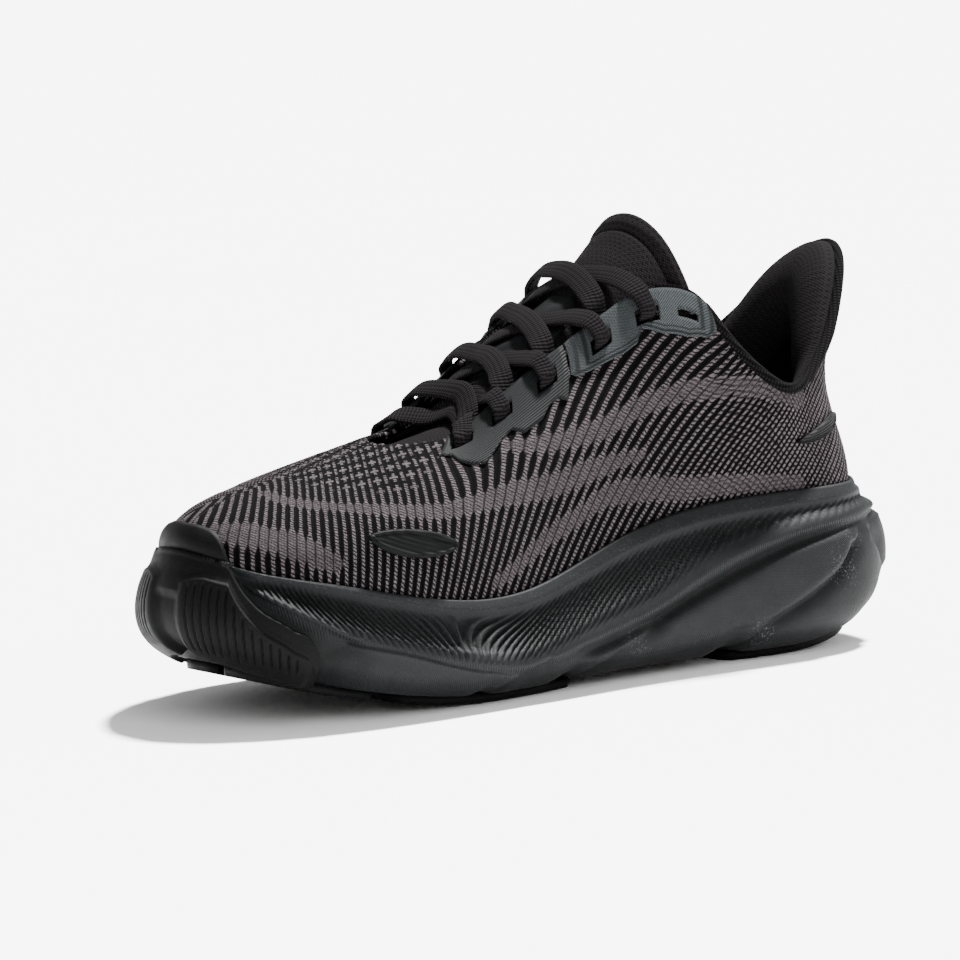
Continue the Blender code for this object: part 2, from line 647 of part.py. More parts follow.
def add_side_patches():
    """Plain welded patches low on the forefoot and at the heel, on both sides."""
    for side, sign in (("medial", 1), ("lateral", -1)):
        for name, middle, half, low, high in (
            ("forefoot_patch", 2.60, 0.48, 0.16, 0.30), ("heel_patch", 6.80, 0.40, 0.40, 0.52),
        ):
            u = np.linspace(-1, 1, 7)
            centre = middle if sign > 0 else STATIONS - middle
            stations = centre + half * u
            lens = np.sqrt(1 - 0.86 * np.abs(u) ** 2)
            mean, spread = (low + high) / 2, (high - low) / 2
            shares = mean + spread * lens[:, None] * np.linspace(-1, 1, 4)[None, :]
            layer(f"{name}_{side}", stations, shares, -2 * LAYER_GAP, -FILM, "film")


# ---------------------------------------------------------------- tongue
def tongue_middle(x):
    return smooth_interp(x, TONGUE_LINE)[..., 0]


def under_edge(station, distance):
    """A point on the tongue's face under the upper, and its direction towards the throat."""
    share = share_from_rim([station], distance)[0]
    grid = skin(np.array([station - 0.05, station, station + 0.05]), np.array([share - 0.04, share]))
    normals = grid_normals(grid)
    point = grid[1, 1] - normals[1, 1] * TONGUE_DEPTH
    return point, unit(grid[1, 1] - grid[1, 0])


def tongue_section(station):
    """Points across the tongue's face from its medial to its lateral edge."""
    medial, to_medial = under_edge(station, 0.0)
    lateral, to_lateral = under_edge(STATIONS - station, 0.0)
    middle = (medial + lateral) / 2
    rise = tongue_middle(middle[0]) - middle[2]
    reach_m = np.clip(rise / (0.75 * max(to_medial[2], 0.2)), 0.008, 0.020)
    reach_l = np.clip(rise / (0.75 * max(to_lateral[2], 0.2)), 0.008, 0.020)
    a, b = medial + to_medial * reach_m, lateral + to_lateral * reach_l
    s = np.linspace(0, 1, 9)[:, None]
    arch = (1 - s) ** 3 * medial + 3 * s * (1 - s) ** 2 * a + 3 * s**2 * (1 - s) * b + s**3 * lateral
    flap_m = [under_edge(station, d)[0] for d in (TONGUE_FLAP, TONGUE_FLAP / 2)]
    flap_l = [under_edge(STATIONS - station, d)[0] for d in (TONGUE_FLAP / 2, TONGUE_FLAP)]
    return np.concatenate([flap_m, arch, flap_l])


def tongue_face():
    """The tongue's face: sections under the throat, then its free tip."""
    sections = [tongue_section(s) for s in (1.5, 2.0, 2.4, 2.75, 3.2, 3.7, 4.2, 4.6, 4.95)]
    last = sections[-1]
    side = (np.linspace(-1, 1, len(last)) ** 2)[:, None]
    step = (1 - side) * np.array([-0.66, 0.0, 0.75]) + side * np.array([-1.25, 0.0, 0.36])
    for travel, width in ((0.0065, 1.0), (0.0130, 1.0), (0.0180, 0.97)):
        row = last * np.array([1.0, width, 1.0]) + step * travel
        sections.append(row)
    return np.array(sections)


def add_tongue():
    face = tongue_face()
    rows = len(face)
    pivot = add_pivot("tongue_pivot", TONGUE_PIVOT)
    foam = np.linspace(TONGUE_FOAM[0], TONGUE_FOAM[1], rows)[:, None]
    across = np.abs(np.linspace(-1, 1, face.shape[1]))[None, :]
    foam = foam * (1 - 0.75 * across**4)
    flip = -1.0 if grid_normals(face)[rows // 2, face.shape[1] // 2, 2] < 0 else 1.0

    def down(depth):
        return face - grid_normals(face) * flip * np.broadcast_to(depth, face.shape[:2])[..., None]

    inset = slice(1, -1)
    thick_grid("tongue_face", face, down(TONGUE_CLOTH), "knit", pivot=pivot)
    foam_top, foam_bottom = down(TONGUE_CLOTH + TONGUE_GAP), down(TONGUE_CLOTH + TONGUE_GAP + foam)
    thick_grid("tongue_foam", foam_top[inset, inset], foam_bottom[inset, inset], "padding", pivot=pivot)
    back_top = down(TONGUE_CLOTH + 2 * TONGUE_GAP + foam)
    back = down(2 * TONGUE_CLOTH + 2 * TONGUE_GAP + foam)
    thick_grid("tongue_lining", back_top, back, "lining", pivot=pivot)
    patch = (slice(4, 8), slice(3, -3))
    over, under = down(-LAYER_GAP - OVERLAY)[patch], down(-LAYER_GAP)[patch]
    thick_grid("tongue_overlay", over, under, "film", pivot=pivot)


# ---------------------------------------------------------------- lace
def off_skin(station, distance, height):
    """A point at a height over the skin, at a distance down from the throat edge."""
    share = share_from_rim([station], max(distance, 0.0))[0]
    grid = skin(np.array([station - 0.05, station, station + 0.05]), np.array([share - 0.05, share]))
    normals = grid_normals(grid)
    towards = unit(grid[1, 1] - grid[1, 0])
    point = grid[1, 1] + normals[1, 1] * height + towards * max(-distance, 0.0)
    along = unit(grid[2, 1] - grid[0, 1])
    return np.concatenate([point, along])


def over_tongue(station, across, height):
    """A point over the tongue: across is 0 at the medial throat edge and 1 at the lateral one."""
    arches = [tongue_section(station + d)[2:-2] for d in (-0.1, 0.1)]
    share = np.linspace(0, 1, len(arches[0]))

    def at(arch, place):
        return np.array([np.interp(place, share, arch[:, k]) for k in range(3)])

    behind, ahead = (at(arch, across) for arch in arches)
    middle = (arches[0] + arches[1]) / 2
    normal = unit(np.cross(at(middle, across + 0.1) - at(middle, across - 0.1), ahead - behind))
    normal = normal if normal[2] > 0 else -normal
    return np.concatenate([(behind + ahead) / 2 + normal * height, unit(ahead - behind)])


def lace_points():
    """Centre line of the laced run, with the direction of the lace's width carried along."""
    over = LAYER_GAP + PATCH + 0.0011 + LACE_THICKNESS / 2
    under = -(KNIT + 0.0005 + LACE_THICKNESS / 2)
    rows = SLOT_STATIONS

    def mirror(station, medial):
        return station if medial else STATIONS - station

    def into_slot(row, medial, drift):
        """From the throat edge over the eyestay, down through the slot, and back under it to the edge."""
        come = rows[row] - drift[0]
        leave = rows[row] + drift[1]
        steps = (
            (come, 0.0005, over), (0.4 * come + 0.6 * rows[row], 0.0048, over),
            (rows[row], 0.0080, over * 0.80),
            (rows[row], SLOT_FROM_EDGE + 0.0006, -KNIT / 2), (rows[row], 0.0080, under * 1.02),
            (0.6 * rows[row] + 0.4 * leave, 0.0046, under), (leave, 0.0002, under),
        )
        found = [off_skin(mirror(s, medial), d, h) for s, d, h in steps]
        if not medial:
            for point in found:
                point[3:] *= -1
        return found

    def crossing(row, upper, from_medial):
        """The strand over the tongue between two rows, clear of the one that it crosses."""
        gap_between = rows[row + 1] - rows[row]
        clear = LACE_THICKNESS / 2 + 0.0007 + (OVERLAY + LAYER_GAP if row else 0.0)
        lift = LACE_THICKNESS + 0.0006 if upper else 0.0
        found = []
        for share, extra in ((0.12, 0.0005), (0.28, 0.0003), (0.5, 0.0002), (0.72, 0.0006), (0.88, 0.0026)):
            station = rows[row] + gap_between * (0.1 + 0.8 * share)
            across = share if from_medial else 1 - share
            found.append(over_tongue(station, across, clear + lift + extra))
        return found

    def strand(medial_start):
        medial = medial_start
        found = []
        for row in range(len(rows) - 1):
            gap_below = rows[row + 1] - rows[row]
            drift_in = 0.0 if row == 0 else 0.10 * (rows[row] - rows[row - 1])
            if row:
                found += into_slot(row, medial, (drift_in, 0.10 * gap_below))
            found += crossing(row, medial_start == (row % 2 == 0), medial)
            medial = not medial
        last = len(rows) - 1
        found += into_slot(last, medial, (0.10 * (rows[last] - rows[last - 1]), 0.0))[:5]
        for distance, deeper in ((0.0130, 0.0002), (0.0190, 0.0012), (0.0230, 0.0028)):
            point = off_skin(mirror(rows[last], medial), distance, under - deeper)
            if not medial:
                point[3:] *= -1
            found.append(point)
        return found

    first = into_slot(0, True, (0.0, 0.10 * (rows[1] - rows[0])))
    other = into_slot(0, False, (0.0, 0.10 * (rows[1] - rows[0])))
    bar = [over_tongue(rows[0], across, LACE_THICKNESS / 2 + 0.0018) for across in (0.80, 0.5, 0.20)]
    lateral_half = list(reversed(strand(False)))
    medial_half = strand(True)
    return np.array(lateral_half + list(reversed(other)) + bar + first + medial_half)


def add_lace():
    path = smooth_path(lace_points(), 0.0048)
    ribbon("lace", path[:, :3], path[:, 3:6], LACE_WIDTH, LACE_THICKNESS, "lace")
    ends = []
    for tip, before in ((path[-1], path[-3]), (path[0], path[2])):
        ends.append((tip[:3], unit(tip[:3] - before[:3])))
    return ends


def add_tails(ends):
    """The lace's two ends, tucked loose into the shoe and lying on the sockliner."""
    rest = TAIL_RADIUS + 0.0016
    for side, sign, (start, direction) in (("medial", 1, ends[0]), ("lateral", -1, ends[1])):
        first = start + direction * GAP
        points = [first, first + direction * 0.008]
        points.append(np.array([first[0] - 0.002, sign * 0.0235, 0.066]))
        for x, y in ((-0.046, 0.0215), (-0.060, 0.0185), (-0.076, 0.0215), (-0.092, 0.0180)):
            points.append(np.array([x, sign * y, sockliner_top(x) + rest]))
        path = smooth_path(np.array(points), 0.0046)
        end = path[-1, :3]
        heading = unit(path[-1, :3] - path[-2, :3])
        add_tube(f"lace_tail_{side}", path[:, :3], TAIL_RADIUS, "lace")
        aglet = end + heading * GAP
        far = aglet + unit(heading * np.array([1.0, 1.0, 0.0])) * AGLET_LENGTH
        add_tube(f"aglet_{side}", np.array([aglet, far]), AGLET_RADIUS, "aglet")


def sockliner_top(x):
    return footbed(x) + 2 * GAP + BOARD + INSOLE


def add_tube(name, path, radius, slot):
    curve = bpy.data.curves.new(name, "CURVE")
    curve.dimensions = "3D"
    curve.bevel_depth = radius
    curve.bevel_resolution = 2
    curve.use_fill_caps = True
    spline = curve.splines.new("POLY")
    spline.points.add(len(path) - 1)
    for point, at in zip(spline.points, path):
        point.co = (*at, 1)
    curve.materials.append(material(slot))
    obj = bpy.data.objects.new(name, curve)
    bpy.context.scene.collection.objects.link(obj)


# ---------------------------------------------------------------- the shoe
for old in list(bpy.data.objects):
    bpy.data.objects.remove(old, do_unlink=True)

add_midsole()
add_outsole()
add_toe_cap()
add_footbed()
add_upper()
add_collar()
add_eyestays()
add_side_patches()
add_tongue()
add_tails(add_lace())
for piece in bpy.data.objects:
    if piece.parent is None:
        piece.location = [at - middle for at, middle in zip(piece.location, MIDDLE)]
bpy.context.view_layer.update()
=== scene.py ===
"""The looks of the running shoe: knit upper, sculpted foam, grooved rubber, laces and padding.

Metres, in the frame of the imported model. The shoe's own curves are written in the coordinates that
its design uses, and every piece is moved by MIDDLE as it is made, so that it lands on the frame.
A station runs round the shoe, 0 at the toe tip, 8 at the heel along the medial side, 16 back at the
toe along the lateral side.
"""

import math

import bmesh
import bpy
import numpy as np
from mathutils import Matrix, Vector


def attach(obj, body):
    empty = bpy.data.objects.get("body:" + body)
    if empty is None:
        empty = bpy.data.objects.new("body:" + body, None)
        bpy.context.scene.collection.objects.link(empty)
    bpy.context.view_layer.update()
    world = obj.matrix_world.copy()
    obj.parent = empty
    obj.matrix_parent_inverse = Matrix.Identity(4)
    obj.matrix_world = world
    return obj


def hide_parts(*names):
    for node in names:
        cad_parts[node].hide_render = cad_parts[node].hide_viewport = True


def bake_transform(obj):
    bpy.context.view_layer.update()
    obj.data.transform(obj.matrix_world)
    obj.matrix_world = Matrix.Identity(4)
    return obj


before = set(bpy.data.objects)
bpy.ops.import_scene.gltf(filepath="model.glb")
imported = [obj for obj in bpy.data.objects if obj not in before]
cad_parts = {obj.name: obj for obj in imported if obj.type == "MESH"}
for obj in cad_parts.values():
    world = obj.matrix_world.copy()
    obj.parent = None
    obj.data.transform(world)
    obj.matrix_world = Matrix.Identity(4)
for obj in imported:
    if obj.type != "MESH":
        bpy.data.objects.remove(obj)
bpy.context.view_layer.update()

MM = 0.001
GAP = 0.0003
STATIONS = 16
HEEL = 8
MIDDLE = (0.0020, -0.0024, 0.0)
ROCKER_TOE_START = 0.038
ROCKER_HEEL_START = -0.090
TOE_SPRING = 0.0225
HEEL_BEVEL = 0.0110
ROCKER_POWER = 1.9
RUBBER = 0.0030
BOARD = 0.0014
INSOLE = 0.0045
KNIT = 0.0018
PATCH = 0.0009
LIP_INSET = 0.0085
FOOTBED_INSET = 0.0125
HEEL_TUCK = 0.0062
HEEL_TUCK_REACH = 0.9
FEATHER_T = -0.16
LACE_THICKNESS = 0.0015
SLOT_FROM_EDGE = 0.0088
SLOT_HALF = 0.0026
TAIL_RADIUS = 0.0014
AGLET_LENGTH = 0.020
TONGUE_DEPTH = 0.0052
TONGUE_FLAP = 0.013
OVERLAY = 0.0007
LAYER_GAP = 0.0005

# ---------------------------------------------------------------- curves of the shoe
# station, x, y of the widest line of the sole
OUTLINE = (
    (0, 0.1522, 0.0080), (1, 0.1391, 0.0361), (2, 0.1100, 0.0498), (3, 0.0701, 0.0528),
    (4, 0.0278, 0.0504), (5, -0.0200, 0.0440), (6, -0.0720, 0.0427), (7, -0.1282, 0.0363),
    (8, -0.1510, 0.0000), (9, -0.1282, -0.0384), (10, -0.0720, -0.0478), (11, -0.0200, -0.0510),
    (12, 0.0280, -0.0560), (13, 0.0720, -0.0570), (14, 0.1101, -0.0481), (15, 0.1385, -0.0260),
)
# station, height of the foam's top edge
LIP_HEIGHT = (
    (0, 0.0563), (1, 0.0510), (2, 0.0453), (3, 0.0372), (4, 0.0370), (5, 0.0507), (6, 0.0574),
    (7, 0.0576), (8, 0.0583), (9, 0.0568), (10, 0.0560), (11, 0.0490), (12, 0.0385),
    (13, 0.0378), (14, 0.0455), (15, 0.0520),
)
# x, height of the footbed inside the foam cup
FOOTBED = (
    (-0.150, 0.0335), (-0.110, 0.0330), (-0.050, 0.0320), (0.020, 0.0265), (0.060, 0.0245),
    (0.100, 0.0280), (0.150, 0.0395),
)
# station, x, y, z of the rim: throat front, throat edge, collar, heel tab
RIM = (
    (0, 0.0610, 0.0000, 0.0840), (1, 0.0590, 0.0085, 0.0842), (2, 0.0490, 0.0150, 0.0850),
    (2.5, 0.0390, 0.0165, 0.0870), (3, 0.0290, 0.0180, 0.0938), (3.5, 0.0150, 0.0195, 0.1035),
    (4, 0.0000, 0.0210, 0.1128), (4.5, -0.0190, 0.0230, 0.1238), (5, -0.0370, 0.0265, 0.1303),
    (5.3, -0.0520, 0.0295, 0.1270), (5.6, -0.0620, 0.0330, 0.1150), (6, -0.0750, 0.0370, 0.1010),
    (6.4, -0.0890, 0.0385, 0.0943), (6.8, -0.1040, 0.0335, 0.1010), (7.2, -0.1165, 0.0275, 0.1110),
    (7.5, -0.1252, 0.0212, 0.1205), (7.75, -0.1345, 0.0130, 0.1325), (8, -0.1405, 0.0000, 0.1390),
    (8.25, -0.1345, -0.0135, 0.1320), (8.5, -0.1252, -0.0217, 0.1200), (8.8, -0.1165, -0.0282, 0.1105),
    (9.2, -0.1040, -0.0342, 0.1000), (9.6, -0.0890, -0.0395, 0.0925),
    (10, -0.0750, -0.0380, 0.0990), (10.4, -0.0620, -0.0335, 0.1140), (10.7, -0.0520, -0.0300, 0.1260),
    (11, -0.0370, -0.0270, 0.1293), (11.5, -0.0190, -0.0235, 0.1230), (12, 0.0000, -0.0215, 0.1120),
    (12.5, 0.0150, -0.0200, 0.1028), (13, 0.0290, -0.0182, 0.0932), (13.5, 0.0390, -0.0168, 0.0865),
    (14, 0.0490, -0.0150, 0.0850), (15, 0.0590, -0.0085, 0.0842),
)
# station, the handle with which the skin leaves the rim
RIM_HANDLE = (
    (0, 0.0400, 0.0010, -0.0120), (1, 0.0300, 0.0140, -0.0110), (2, 0.0200, 0.0180, -0.0110),
    (3, 0.0070, 0.0165, -0.0120), (4, 0.0010, 0.0145, -0.0165), (5, -0.0020, 0.0110, -0.0240),
    (6, 0.0000, 0.0020, -0.0140), (7, 0.0080, 0.0020, -0.0200), (8, 0.0240, 0.0000, -0.0300),
    (9, 0.0080, -0.0020, -0.0200), (10, 0.0000, -0.0020, -0.0140), (11, -0.0020, -0.0130, -0.0230),
    (12, 0.0010, -0.0170, -0.0160), (13, 0.0070, -0.0185, -0.0120), (14, 0.0200, -0.0190, -0.0110),
    (15, 0.0300, -0.0140, -0.0110),
)
# station, rise and outward lean with which the skin leaves the foam
LIP_HANDLE = (
    (0, 0.0180, 0.0035), (1, 0.0170, 0.0030), (2, 0.0190, 0.0035), (3, 0.0200, 0.0015),
    (4, 0.0240, -0.0010), (5, 0.0260, -0.0010), (6, 0.0150, 0.0000), (7, 0.0180, -0.0020),
    (8, 0.0220, 0.0030), (9, 0.0180, -0.0020), (10, 0.0150, 0.0000), (11, 0.0260, -0.0020),
    (12, 0.0240, -0.0030), (13, 0.0200, 0.0010), (14, 0.0190, 0.0030), (15, 0.0170, 0.0030),
)
# x, z of the tongue's face along its middle, from its sewn end to its tip
TONGUE_LINE = (
    (0.0640, 0.0785), (0.0480, 0.0850), (0.0240, 0.0985), (0.0000, 0.1135), (-0.0180, 0.1260),
    (-0.0340, 0.1395), (-0.0500, 0.1520),
)
SLOT_STATIONS = (2.58, 3.18, 3.76, 4.36, 4.86)  # the rows of eyelet slots
SLOT_HALVES = (0.180, 0.130, 0.124, 0.102, 0.118)  # half a slot along the throat edge, in stations
SPARE_SLOT = 5.20           # the extra eyelet near the collar, with no lace in it
SPARE_HALF = 0.080


# ---------------------------------------------------------------- small maths
def loop_curve(rows):
    """A smooth closed curve through rows of (station, values); returns a function of the station."""
    table = np.array(rows, float)
    knots, values = table[:, 0], table[:, 1:]
    count = len(knots)
    gaps = np.diff(np.append(knots, knots[0] + STATIONS))
    slopes = (np.roll(values, -1, 0) - values) / gaps[:, None]
    matrix = np.zeros((count, count))
    right = np.zeros_like(values)
    for i in range(count):
        before = gaps[i - 1]
        matrix[i, i - 1] += before
        matrix[i, i] += 2 * (before + gaps[i])
        matrix[i, (i + 1) % count] += gaps[i]
        right[i] = 6 * (slopes[i] - slopes[i - 1])
    bends = np.linalg.solve(matrix, right)

    def at(station):
        s = np.mod(np.asarray(station, float) - knots[0], STATIONS) + knots[0]
        i = np.clip(np.searchsorted(knots, s, side="right") - 1, 0, count - 1)
        j = (i + 1) % count
        h = gaps[i][..., None]
        a = (s - knots[i])[..., None]
        b = h - a
        return (
            (bends[i] * b**3 + bends[j] * a**3) / (6 * h)
            + (values[i] / h - bends[i] * h / 6) * b
            + (values[j] / h - bends[j] * h / 6) * a
        )

    return at


outline_at = loop_curve(OUTLINE)
lip_height_at = loop_curve(LIP_HEIGHT)
rim_at = loop_curve(RIM)
rim_handle_at = loop_curve(RIM_HANDLE)
lip_handle_at = loop_curve(LIP_HANDLE)


def smooth_interp(x, rows):
    """A smooth open curve y(x) through rows of (x, y), by cubic Hermite pieces."""
    table = np.array(rows, float)
    xs, ys = table[:, 0], table[:, 1:]
    order = np.argsort(xs)
    xs, ys = xs[order], ys[order]
    slopes = np.gradient(ys, xs, axis=0)
    x = np.asarray(x, float)
    i = np.clip(np.searchsorted(xs, x) - 1, 0, len(xs) - 2)
    h = (xs[i + 1] - xs[i])[..., None]
    f = np.clip((x - xs[i])[..., None] / h, -0.5, 1.5)
    return (
        (2 * f**3 - 3 * f**2 + 1) * ys[i]
        + (f**3 - 2 * f**2 + f) * h * slopes[i]
        + (3 * f**2 - 2 * f**3) * ys[i + 1]
        + (f**3 - f**2) * h * slopes[i + 1]
    )


def unit(v):
    return v / np.maximum(np.linalg.norm(v, axis=-1, keepdims=True), 1e-12)


def running_length(points):
    """Distance along a line of points from its first one."""
    return np.concatenate([[0], np.cumsum(np.linalg.norm(np.diff(points, axis=0), axis=1))])


def bezier(a, b, c, d, s):
    return (1 - s) ** 3 * a + 3 * s * (1 - s) ** 2 * b + 3 * s**2 * (1 - s) * c + s**3 * d


def soft_step(x):
    x = np.clip(x, 0, 1)
    return x * x * (3 - 2 * x)


def ramp(x, start, width):
    """0 up to the start, then smoothly up to 1 over the width."""
    return soft_step((x - start) / width)


def fall(x, end, width):
    """Smoothly down over the width to 0 at the end."""
    return soft_step((end - x) / width)


def bell(x, width):
    return np.exp(-((x / width) ** 2))


def pair(a, b):
    """Two coordinates side by side, in their common shape."""
    return np.stack(np.broadcast_arrays(a, b), -1)


def ground(x):
    """Height of the ground line of the rockered sole."""
    toe = np.clip((x - ROCKER_TOE_START) / (0.1525 - ROCKER_TOE_START), 0, None)
    heel = np.clip((ROCKER_HEEL_START - x) / (0.1525 + ROCKER_HEEL_START), 0, None)
    return TOE_SPRING * toe**ROCKER_POWER + HEEL_BEVEL * heel**ROCKER_POWER


def footbed(x):
    return smooth_interp(x, FOOTBED)[..., 0]


def outward(station):
    """Horizontal unit normal of the sole's outline, pointing out."""
    step = 0.02
    tangent = outline_at(station + step) - outline_at(station - step)
    return unit(np.stack([tangent[..., 1], -tangent[..., 0]], -1))


def inset_point(station, inset, height):
    """A point inset from the outline, at a height that may depend on its x."""
    plan = outline_at(station) - outward(station) * np.asarray(inset)[..., None]
    z = height(plan[..., 0]) if callable(height) else np.broadcast_to(height, plan.shape[:-1])
    return np.concatenate([plan, np.asarray(z)[..., None]], -1)


def heel_tuck(station):
    return HEEL_TUCK * np.exp(-(((np.mod(station, STATIONS) - 8) / HEEL_TUCK_REACH) ** 2))


def lip_point(station):
    return inset_point(station, LIP_INSET + GAP + heel_tuck(station), lip_height_at(station)[..., 0])


def feather_point(station):
    inset = FOOTBED_INSET + GAP + heel_tuck(station)
    return inset_point(station, inset, lambda x: footbed(x) + GAP)


SKIN_STEPS = np.linspace(0, 1, 49)


def skin_column(station):
    """Points up one column of the skin, from the foam's lip to the rim, and their running length."""
    station = np.asarray(float(station))
    lip, rim = lip_point(station), rim_at(station)
    rise, lean = lip_handle_at(station)
    out = outward(station)
    first = lip + np.array([out[0] * lean, out[1] * lean, rise])
    last = rim + rim_handle_at(station)
    points = bezier(lip, first, last, rim, SKIN_STEPS[:, None])
    run = running_length(points)
    return points, run


def skin(stations, shares):
    """Grid of skin points: one row per station; shares is 1-D, or one row for each station.

    Share 0 is where the upper leaves the foam, 1 is the rim, and below 0 it goes down inside the foam cup.
    """
    stations = np.atleast_1d(stations)
    shares = np.broadcast_to(shares, (len(stations), np.shape(shares)[-1]))
    grid = np.empty(shares.shape + (3,))
    for i, station in enumerate(stations):
        points, run = skin_column(station)
        for k in range(3):
            grid[i, :, k] = np.interp(shares[i] * run[-1], run, points[:, k])
        below = shares[i] < 0
        if below.any():
            drop = feather_point(np.asarray(float(station))) - points[0]
            grid[i, below] = points[0] + drop * (shares[i][below] / FEATHER_T)[:, None]
    return grid


def side_heights(stations):
    """Length of the skin from the foam's lip to the rim, at each station."""
    return np.array([skin_column(s)[1][-1] for s in stations])


def share_from_rim(stations, distance):
    """The share that lies this far down the skin from the rim, in metres."""
    return 1 - np.asarray(distance) / side_heights(np.atleast_1d(stations))


def grid_normals(grid):
    return unit(np.cross(np.gradient(grid, axis=0), np.gradient(grid, axis=1)))


def sunk(grid, depth):
    """The grid moved into the shoe by a depth, or out of it where that is negative."""
    rising = 1.0 if grid[:, -1, 2].mean() > grid[:, 0, 2].mean() else -1.0
    return grid - grid_normals(grid) * rising * np.asarray(depth)[..., None]


def smooth_path(points, spacing):
    """Evenly spaced points on a smooth curve through the given ones; extra columns are carried along."""
    points = np.asarray(points, float)
    run = np.concatenate([[0], np.cumsum(np.linalg.norm(np.diff(points[:, :3], axis=0), axis=1) ** 0.5)])
    fine = np.linspace(0, run[-1], 40 * len(points))
    rows = np.concatenate([run[:, None], points], 1)
    curve = smooth_interp(fine, rows)
    length = running_length(curve[:, :3])
    count = max(2, int(round(length[-1] / spacing)) + 1)
    even = np.linspace(0, length[-1], count)
    return np.stack([np.interp(even, length, curve[:, k]) for k in range(curve.shape[1])], 1)


def tongue_middle(x):
    return smooth_interp(x, TONGUE_LINE)[..., 0]


def on_skin(station, distance, share_step):
    """A point this far down from the rim, the skin's normal there, and its directions up and along."""
    share = share_from_rim([station], distance)[0]
    grid = skin(np.array([station - 0.05, station, station + 0.05]), np.array([share - share_step, share]))
    up, along = unit(grid[1, 1] - grid[1, 0]), unit(grid[2, 1] - grid[0, 1])
    return grid[1, 1], grid_normals(grid)[1, 1], up, along


def under_edge(station, distance):
    """A point on the tongue's face under the upper, and its direction towards the throat."""
    point, normal, up, _ = on_skin(station, distance, 0.04)
    return point - normal * TONGUE_DEPTH, up


def tongue_section(station):
    """Points across the tongue's face from its medial to its lateral edge."""
    medial, to_medial = under_edge(station, 0.0)
    lateral, to_lateral = under_edge(STATIONS - station, 0.0)
    middle = (medial + lateral) / 2
    rise = tongue_middle(middle[0]) - middle[2]
    handles = [
        start + way * np.clip(rise / (0.75 * max(way[2], 0.2)), 0.008, 0.020)
        for start, way in ((medial, to_medial), (lateral, to_lateral))
    ]
    arch = bezier(medial, *handles, lateral, np.linspace(0, 1, 9)[:, None])
    flap_m = [under_edge(station, d)[0] for d in (TONGUE_FLAP, TONGUE_FLAP / 2)]
    flap_l = [under_edge(STATIONS - station, d)[0] for d in (TONGUE_FLAP / 2, TONGUE_FLAP)]
    return np.concatenate([flap_m, arch, flap_l])


def tongue_face():
    """The tongue's face: sections under the throat, then its free tip."""
    sections = [tongue_section(s) for s in (1.5, 2.0, 2.4, 2.75, 3.2, 3.7, 4.2, 4.6, 4.95)]
    last = sections[-1]
    side = (np.linspace(-1, 1, len(last)) ** 2)[:, None]
    step = (1 - side) * np.array([-0.66, 0.0, 0.75]) + side * np.array([-1.25, 0.0, 0.36])
    for travel, width in ((0.0065, 1.0), (0.0130, 1.0), (0.0180, 0.97)):
        sections.append(last * np.array([1.0, width, 1.0]) + step * travel)
    return np.array(sections)


def off_skin(station, distance, height):
    """A point at a height over the skin, at a distance down from the throat edge."""
    point, normal, up, along = on_skin(station, max(distance, 0.0), 0.05)
    return np.concatenate([point + normal * height + up * max(-distance, 0.0), along])


def over_tongue(station, across, height):
    """A point over the tongue: across is 0 at the medial throat edge and 1 at the lateral one."""
    arches = [tongue_section(station + d)[2:-2] for d in (-0.1, 0.1)]
    share = np.linspace(0, 1, len(arches[0]))

    def at(arch, place):
        return np.array([np.interp(place, share, arch[:, k]) for k in range(3)])

    behind, ahead = (at(arch, across) for arch in arches)
    middle = (arches[0] + arches[1]) / 2
    normal = unit(np.cross(at(middle, across + 0.1) - at(middle, across - 0.1), ahead - behind))
    normal = normal if normal[2] > 0 else -normal
    return np.concatenate([(behind + ahead) / 2 + normal * height, unit(ahead - behind)])


